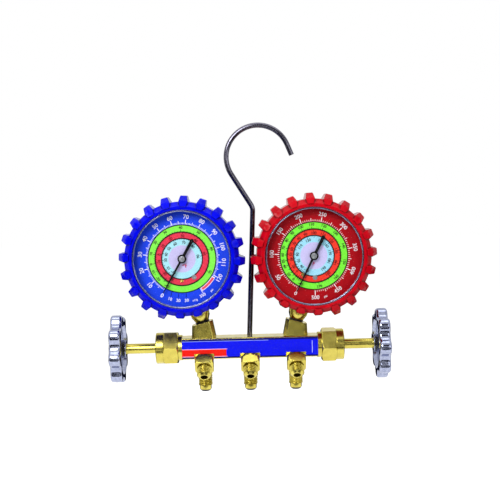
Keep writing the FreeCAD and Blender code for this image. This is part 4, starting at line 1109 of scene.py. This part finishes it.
def overrange_band(drawing, ink):
    """The band past the scale's end, its last tick and their text."""
    print_band(drawing, scale_line, overrange_outer, overrange_start, overrange_end,
               ink["white"], scale_layer)
    print_band(drawing, scale_line + overrange_edge, overrange_outer - overrange_edge,
               pink_start, pink_end, ink["pink"], fine_layer)
    print_tick(drawing, scale_line, end_tick_outer, end_tick_angle, lone_tick_width,
               ink["white"], scale_layer)
    print_text(drawing, "350", number_radius, end_number_angle, small_number, ink["white"], scale_layer)
    print_text(drawing, *OVERRANGE_UNIT, ink["white"], scale_layer)


print("vacuum marks sweep", vacuum_sweep, "degrees")

# %% [markdown]
# ## Dials: the inks and the print
#
# Each side has its own field colour and slightly different greens and reds, as two print runs have,
# while the white, black and small colours are shared. Every ink is a thin screen-printed coat, so
# each is one call of the even finish. All the bands, ticks and numbers of a dial go into one
# object with a material slot for each ink.

# %% Mix the inks
DIAL_TONES = {
    "low": {"field": ("1C46EC", "163EE0"), "red": ("E03A50", "D43048"), "green": ("82EC50", "78E246"),
            "centre": ("A8E0EC", "9CD6E4"), "core": ("C6C0EA", "BCB6E2")},
    "high": {"field": ("B00412", "A00210"), "red": ("F03E2C", "E43424"), "green": ("7CF040", "72E238"),
             "centre": ("A0DCF0", "94D2E8"), "core": ("CAC4F0", "C0BAE8")},
}
SHARED_TONES = {
    "white": ("FAFAFF", "EEEEFA"), "black": ("101014", "08080A"), "dark": ("5A0612", "4A040E"),
    "navy": ("0E2030", "0A1826"), "pink": ("F0506E", "E64464"), "magenta": ("C81450", "B41048"),
}
SHARED_INKS = {name: even_finish("ink_" + name, *tones, gloss=ink_gloss)
               for name, tones in SHARED_TONES.items()}
print("shared inks:", list(SHARED_INKS))

# %% Colour bands
hole_radius = 2.2
core_outer = 10.2
centre_outer = 15.3
red_outer = 20.1
green_outer = 25.4
field_radius = 38.4
# Radius and width of the black lines between the bands.
RING_LINES = ((green_outer, 0.8), (red_outer, 1.0), (centre_outer, 0.9))


def colour_bands(drawing, ink):
    """The field, the four rings of colour and the lines between them."""
    print_band(drawing, hole_radius, field_radius, 0, 360, ink["field"], field_layer)
    print_band(drawing, red_outer, green_outer, 0, 360, ink["green"], band_layer)
    print_band(drawing, centre_outer, red_outer, 0, 360, ink["red"], band_layer)
    print_band(drawing, core_outer, centre_outer, 0, 360, ink["centre"], band_layer)
    print_band(drawing, hole_radius, core_outer, 0, 360, ink["core"], band_layer)
    for radius, width in RING_LINES:
        print_band(drawing, radius - width / 2, radius + width / 2, 0, 360, ink["black"], scale_layer)


print("width of the red ring, mm:", round(red_outer - centre_outer, 1))

# %% Print both dials
# Text, radius, angle and height.
HIGH_UNIT = ("psi", number_radius + 0.3, 150, 1.7)
DEGREE_SIGN = ("°F", 6.0, 175, 2.8)
for side, tones_by_name in DIAL_TONES.items():
    inks = {name: even_finish(side + "_ink_" + name, *tones, gloss=ink_gloss)
            for name, tones in tones_by_name.items()}
    inks.update(SHARED_INKS)
    ink = {name: slot for slot, name in enumerate(inks)}
    drawing = bmesh.new()
    colour_bands(drawing, ink)
    pressure_scale(drawing, side, ink)
    for refrigerant in REFRIGERANTS:
        temperature_scale(drawing, side, refrigerant, ink)
    if side == "low":
        vacuum_scale(drawing, ink)
        overrange_band(drawing, ink)
    else:
        print_text(drawing, *HIGH_UNIT, ink["white"], scale_layer)
    print_text(drawing, *DEGREE_SIGN, ink["magenta"], scale_layer, bold_weight)
    piece = make_object(side + "_dial_print", drawing, GAUGE[side], list(inks.values()), flat=True)
    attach(piece, "manifold")
    print(piece.name, "has", len(piece.data.polygons), "faces")

# %% [markdown]
# ## Dial screws
#
# Two slotted screws hold each dial, a large zinc-plated one and a small brass one. The CAD has
# plain heads; the slot is what makes them read as screws. It could be cut with a Boolean, but the
# head is simpler as a thin disc with two half discs on it, and the gap between them is the slot.

# %% Draw a dial screw
screw_radius = 16.4
screw_back = 14.2
shank_radius = 0.7
shank_segments = 24
head_segments = 32
slot_half = 0.22
half_disc_steps = 16
half_disc_inset = 0.02
# Depths in front of the gauge's middle: each part starts a little inside the one behind it.
shank_front = dial_depth + 0.1
disc_depths = (dial_depth + 0.07, dial_depth + 0.35)
half_disc_depths = (dial_depth + 0.3, dial_depth + 0.7)
# Metal, angle on the dial and head radius; the order gives the material slot.
SCREWS = (("zinc", 163.0, 1.8), ("brass", 197.0, 1.3))
face_forward = Matrix.Rotation(math.radians(90), 4, "X")


def half_disc(drawing, radius, side_sign, ink):
    """One side of a slotted head, its straight edge along the slot."""
    outline = []
    first = math.asin(slot_half / radius)
    for index in range(half_disc_steps + 1):
        angle = first + (math.pi - 2 * first) * index / half_disc_steps
        outline.append((radius * math.cos(angle), side_sign * radius * math.sin(angle)))
    skin(drawing, [[Vector((x, y, depth)) for x, y in outline] for depth in half_disc_depths], ink=ink)


def dial_screw(drawing, angle, radius, ink):
    """A shank, a disc and two half discs, moved to their place on the dial."""
    screw = bmesh.new()
    lathe(screw, [(screw_back, shank_radius), (shank_front, shank_radius)], shank_segments, True, ink)
    lathe(screw, [(depth, radius) for depth in disc_depths], head_segments, True, ink)
    for side_sign in (-1, 1):
        half_disc(screw, radius - half_disc_inset, side_sign, ink)
    turn = math.radians(angle)
    screw.transform(Matrix.Translation((screw_radius * math.sin(turn), screw_radius * math.cos(turn), 0)))
    shape = bpy.data.meshes.new("screw")
    screw.to_mesh(shape)
    screw.free()
    drawing.from_mesh(shape)
    bpy.data.meshes.remove(shape)


print("width of a screw's slot, mm:", 2 * slot_half)

# %% Make the dial screws
for side in SIDES:
    drawing = bmesh.new()
    for ink, (metal, angle, radius) in enumerate(SCREWS):
        dial_screw(drawing, angle, radius, ink)
    screws = make_object(side + "_dial_screw_pair", drawing, GAUGE[side] @ face_forward,
                         [ZINC_SCREW, BRASS_WORKS])
    smooth(screws)
    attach(screws, "manifold")
    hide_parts(side + "_dial_screws")
print("dial screws a side:", [metal for metal, angle, radius in SCREWS])

# %% [markdown]
# ## Pointer caps
#
# The pointer is matt black, and a small grey steel cap with a rounded edge covers its hub. The cap
# is a short lathe form. It rides on the needle's body and not on the bar, so it turns with the
# pointer, which matters as soon as a pose moves the needle.

# %% Make the pointer caps
# Depth in front of the gauge's middle and radius, in mm.
cap_profile = [(19.75, 2.25), (20.35, 2.25), (20.52, 2.12), (20.58, 1.8), (20.6, 0.9), (20.56, 0.3)]
cap_segments = 48
for side in SIDES:
    drawing = bmesh.new()
    lathe(drawing, cap_profile, cap_segments, closed_ends=True)
    cap = make_object(side + "_pointer_cap", drawing, GAUGE[side] @ face_forward, [ZINC_SCREW])
    smooth(cap)
    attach(cap, side + "_needle")
print("cap diameter, mm:", 2 * cap_profile[0][1])

# %% [markdown]
# ## The label's print
#
# The label is a printed foil on the front of the bar: a bright blue field, navy edges, a red stripe
# on the left between pale pinstripes, and notches that clear the three fittings. The foil itself is
# a CAD node. The stripes are flat faces just in front of it, built like the dial's inks, and a small
# function leaves out what falls inside a notch.

# %% Label sizes and stripes
label_depth = 9.8
label_half = 51.8
label_edge = 7.3
label_roughness = 0.2
notch_half = 7.7
notch_top = -3.8
# Material, its two tones, left, right, bottom, top and layer, in mm from the bar's middle.
STRIPES = (
    ("label_ink_navy", ("04045A", "06066A"), -label_half, label_half, 5.9, label_edge, 1),
    ("label_ink_navy_foot", ("04045A", "06066A"), -label_half, label_half, -label_edge, -6.2, 1),
    ("label_ink_red", ("F01E14", "E41810"), -label_half, -18.0, -5.7, -0.6, 1),
    ("label_ink_pale", ("F4B4D8", "ECA8D0"), -label_half, -17.4, -0.6, -0.1, 2),
    ("label_ink_pale_foot", ("F4B4D8", "ECA8D0"), -label_half, -17.4, -6.2, -5.7, 2),
    ("label_ink_pale_head", ("8C9CF8", "8494F0"), -label_half, 14.0, 5.5, 5.9, 2),
    ("label_ink_mark", ("C8D0FF", "BCC4F4"), 47.2, 47.6, -4.6, 4.6, 2),
)


def clear_of_notches(left, right, bottom, top):
    """The parts of a stripe that lie outside the notches round the fittings."""
    parts = [(left, right, max(bottom, notch_top), top)] if top > notch_top else []
    if bottom < notch_top:
        edge = left
        for place in sorted(port_places.values()):
            if edge < place - notch_half and edge < right:
                parts.append((edge, min(right, place - notch_half), bottom, min(top, notch_top)))
            edge = max(edge, place + notch_half)
        if edge < right:
            parts.append((edge, right, bottom, min(top, notch_top)))
    return parts


print("label, mm:", 2 * label_half, "by", 2 * label_edge)

# %% Print the label
drawing = bmesh.new()
label_inks = []
for slot, (name, tones, left, right, bottom, top, layer) in enumerate(STRIPES):
    label_inks.append(even_finish(name, *tones, roughness=label_roughness, gloss=ink_gloss))
    depth = -label_depth - ink_step * layer
    for start, end, low, high in clear_of_notches(left, right, bottom, top):
        corners = [(start, depth, low), (end, depth, low), (end, depth, high), (start, depth, high)]
        face = drawing.faces.new([drawing.verts.new(Vector(corner)) for corner in corners])
        face.material_index = slot
label_print = make_object("label_print", drawing, BAR, label_inks, flat=True)
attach(label_print, "manifold")
print("label stripes:", len(STRIPES), "in", len(label_print.data.polygons), "faces")

# %% [markdown]
# ## Floor and surround
#
# The tool hangs before white paper. If lamps made the paper white, they would burn out the tool as
# well, so the paper and the world glow only for rays that look at the background: from the camera,
# from a mirror or through the lens. Everything else gets a dim even room light, and the floor still
# takes the tool's shadow. The Light Path node tells these rays apart.

# %% Stage helpers
def sheet(name, corners, material):
    """A flat stage piece, which isn't part of the tool."""
    drawing = bmesh.new()
    drawing.faces.new([drawing.verts.new(Vector(corner)) for corner in corners])
    piece = make_object(name, drawing, Matrix.Scale(MM, 4), [material])
    return piece


def looks_at_backdrop(tree):
    """1 for camera, glossy and transmission rays, and 0 for the rays that light the tool."""
    ray = add_node(tree, "ShaderNodeLightPath")
    mirrored = add_node(tree, "ShaderNodeMath", {"operation": "MAXIMUM"}, {
        0: ray.outputs["Is Glossy Ray"], 1: ray.outputs["Is Transmission Ray"]})
    seen = add_node(tree, "ShaderNodeMath", {"operation": "MAXIMUM"}, {
        0: ray.outputs["Is Camera Ray"], 1: mirrored.outputs["Value"]})
    return seen.outputs["Value"]


print("CAD box from", [round(value / MM, 1) for value in cad_box[0]], "mm")

# %% Floor
floor_gap = 60.0
floor_half = 4000.0
floor_level = cad_box[0].z / MM - floor_gap
room_light = 0.21
# The share of the room's light that the paper gives back, which its own glow needn't add.
floor_tone = 0.69
# Paper is uneven over about a hand's width.
paper_mottle_mm = 60.0


def seamless_paper():
    """White paper that takes the tool's shadow: matt, and as white as the surround behind it."""
    material, tree = new_material("seamless_paper")
    place = add_node(tree, "ShaderNodeTexCoord").outputs["Object"]
    mottle = add_node(tree, "ShaderNodeTexNoise", values={
        "Vector": place, "Scale": 1 / (paper_mottle_mm * MM), "Detail": 3.0})
    mottled = add_node(tree, "ShaderNodeMapRange", values={"Value": mottle.outputs["Fac"], **NOISE_RANGE})
    colour = add_node(tree, "ShaderNodeMix", {"data_type": "RGBA"}, {
        "Factor": mottled.outputs["Result"], "A": linear("DADADA"), "B": linear("D7D7D7")})
    glow = add_node(tree, "ShaderNodeMath", {"operation": "MULTIPLY"}, {
        0: looks_at_backdrop(tree), 1: 1.0 - room_light * floor_tone})
    shader = add_node(tree, "ShaderNodeBsdfPrincipled", values={
        "Base Color": colour.outputs["Result"], "Roughness": 0.7, "Specular IOR Level": 0.0,
        "Emission Color": linear("FFFFFF"), "Emission Strength": glow.outputs["Value"]})
    add_node(tree, "ShaderNodeOutputMaterial", values={"Surface": shader.outputs["BSDF"]})
    return material


floor_corners = [(-floor_half, -floor_half, floor_level), (floor_half, -floor_half, floor_level),
                 (floor_half, floor_half, floor_level), (-floor_half, floor_half, floor_level)]
sheet("floor", floor_corners, seamless_paper())
print("floor at", round(floor_level, 1), "mm")

# %% Surround
world = bpy.data.worlds.new("studio")
bpy.context.scene.world = world
world.use_nodes = True
world.node_tree.nodes.clear()
room = add_node(world.node_tree, "ShaderNodeBackground", values={
    "Color": linear("FFFFFF"), "Strength": room_light})
backdrop = add_node(world.node_tree, "ShaderNodeBackground", values={
    "Color": linear("FFFFFF"), "Strength": 1.0})
both = add_node(world.node_tree, "ShaderNodeMixShader", values={
    0: looks_at_backdrop(world.node_tree),
    1: room.outputs["Background"], 2: backdrop.outputs["Background"]})
add_node(world.node_tree, "ShaderNodeOutputWorld", values={"Surface": both.outputs["Shader"]})
print("room light:", room_light)

# %% [markdown]
# ## Lamps
#
# Three soft boxes light the tool: a key from the upper left, a weak fill from the right and a strip
# overhead that gives the brass its top light. Sun lamps would cast hard shadows, which the
# photograph doesn't have; a large area lamp wraps light round a form. The camera doesn't see them.

# %% Place the lamps
# Name, place and aim from the bar's middle, width and height in mm, and power in watts.
LAMPS = (
    ("key_softbox", (-360, -780, 520), (0, 0, 40), 600, 400, 9.0),
    ("fill_softbox", (600, -750, 250), (0, 0, 20), 400, 500, 1.8),
    ("top_strip", (0, -60, 700), (0, 0, 40), 900, 300, 1.6),
)


def lamp(name, place, aim, width, height, power):
    """A rectangular area lamp that looks at its aim, placed from the bar's middle."""
    light = bpy.data.lights.new(name, "AREA")
    light.shape = "RECTANGLE"
    light.size = width * MM
    light.size_y = height * MM
    light.energy = power
    holder = bpy.data.objects.new(name, light)
    holder.location = BAR @ Vector(place)
    direction = (BAR @ Vector(aim)) - holder.location
    holder.rotation_euler = direction.to_track_quat("-Z", "Y").to_euler()
    bpy.context.scene.collection.objects.link(holder)
    holder.visible_camera = False


for plan in LAMPS:
    lamp(*plan)
print("lamp watts in all:", round(sum(plan[-1] for plan in LAMPS), 1))

# %% [markdown]
# ## Dark cards
#
# Chrome and brass only look like metal when they have something dark to reflect, and this room is
# white all round. In a studio, black cards stand just out of view. Here they are nearly black
# sheets that the camera doesn't see and that cast no shadow: behind and above the camera, at both
# sides, behind the tool and on the floor. A gradient from one tone to another keeps the reflection
# of the large ones soft.

# %% Card sizes and tones
card_lift = 4.0
low_card_level = floor_level + card_lift - bar_middle.z / MM
CARD_NIGHT = "0C1024"
CARD_DUSK = "14182E"
CARD_DEEP = "080A1C"
# Name, middle, width, height, turn in degrees, edge tone, middle tone, and whether it lies flat.
CARDS = (
    ("card_at_camera", (0, -1100, 20), 2600, 230, 0, "0A0C1C", "0A0C1C", False),
    ("card_above_camera", (0, -1100, 680), 2600, 700, 0, CARD_DUSK, CARD_DEEP, False),
    ("card_left", (-760, -420, 300), 420, 900, 60, CARD_DUSK, CARD_DEEP, False),
    ("card_right", (760, -420, 300), 420, 900, -60, CARD_DUSK, CARD_DEEP, False),
    ("floor_card_middle", (0, -330, low_card_level), 360, 340, 0, CARD_DUSK, CARD_DUSK, True),
    ("floor_card_left", (-580, -530, low_card_level), 790, 740, 0, CARD_NIGHT, CARD_NIGHT, True),
    ("card_behind_tool", (0, 600, -30), 1400, 120, 0, CARD_NIGHT, CARD_DUSK, False),
    ("floor_card_behind", (0, 370, low_card_level), 1400, 450, 0, CARD_NIGHT, CARD_NIGHT, True),
    ("floor_card_right", (580, -530, low_card_level), 790, 740, 0, CARD_NIGHT, CARD_NIGHT, True),
)
print("cards:", len(CARDS))


# %% Paint and place the cards
def card_paint(name, low, high, edge_tone, middle_tone):
    """Goes evenly from one tone to another between two heights, given in mm."""
    material, tree = new_material(name)
    place = add_node(tree, "ShaderNodeTexCoord").outputs["Object"]
    height = add_node(tree, "ShaderNodeSeparateXYZ", values={"Vector": place})
    share = add_node(tree, "ShaderNodeMapRange", values={
        "Value": height.outputs["Z"], "From Min": low * MM, "From Max": high * MM})
    tone = add_node(tree, "ShaderNodeMix", {"data_type": "RGBA"}, {
        "Factor": share.outputs["Result"], "A": linear(edge_tone), "B": linear(middle_tone)})
    shader = add_node(tree, "ShaderNodeBsdfPrincipled", values={
        "Base Color": linear("000000"), "Roughness": 0.9, "Specular IOR Level": 0.0,
        "Emission Color": tone.outputs["Result"], "Emission Strength": 1.0})
    add_node(tree, "ShaderNodeOutputMaterial", values={"Surface": shader.outputs["BSDF"]})
    return material


def dark_card(name, middle, width, height, turn, edge_tone, middle_tone, flat):
    """One card: hidden from the camera and from shadows, so that it shows in reflections."""
    base = bar_middle.z / MM + middle[2]
    material = card_paint(name + "_paint", base - height / 2, base, edge_tone, middle_tone)
    half = Vector((width / 2, 0, 0))
    rise = Vector((0, height / 2, 0)) if flat else Vector((0, 0, height / 2))
    spin = Matrix.Rotation(math.radians(turn), 3, "Z")
    centre = (BAR @ Vector(middle)) / MM
    corners = [centre + spin @ (-half - rise), centre + spin @ (half - rise),
               centre + spin @ (half + rise), centre + spin @ (-half + rise)]
    card = sheet(name, corners, material)
    card.visible_camera = False
    card.visible_diffuse = False
    card.visible_shadow = False


for plan in CARDS:
    dark_card(*plan)
print("stage pieces and lamps:", len(CARDS) + 1, "and", len(LAMPS))

# %% [markdown]
# ## Camera
#
# The camera stands where the photograph was taken from: three quarters of a metre in front of the
# tool, a hand's width above its bar, and looking down by three degrees. It could be nudged by hand
# until the picture fits. It was solved instead from points that both pictures share: the dial
# centres, the label's corners, the fittings, the wheels and the hook. A camera looks along its own
# minus Z, so the matrix is built from the directions right, up and backwards.

# %% Place the camera
photo_pixels = 500
focal_pixels = 980
sensor_width = 36.0
camera_place = (-2.91, -750.96, 113.81)
camera_yaw = -0.356
camera_pitch = -3.03
camera_roll = 1.336
nearest_clip = 0.05
farthest_clip = 20.0

yaw = Matrix.Rotation(math.radians(camera_yaw), 3, "Z")
pitch = Matrix.Rotation(math.radians(camera_pitch), 3, "X")
roll = Matrix.Rotation(math.radians(camera_roll), 3, "Y")
right, forward, up = (yaw @ pitch @ roll).col
facing = Matrix((right, up, -forward)).transposed().to_4x4()

camera_data = bpy.data.cameras.new("photo_camera")
camera_data.sensor_width = sensor_width
camera_data.lens = focal_pixels / photo_pixels * sensor_width
camera_data.clip_start = nearest_clip
camera_data.clip_end = farthest_clip
camera = bpy.data.objects.new("photo_camera", camera_data)
camera.matrix_world = Matrix.Translation(BAR @ Vector(camera_place)) @ facing
bpy.context.scene.collection.objects.link(camera)
bpy.context.scene.camera = camera
bpy.context.scene.view_settings.view_transform = "Standard"
print("lens, mm:", round(camera_data.lens, 2))
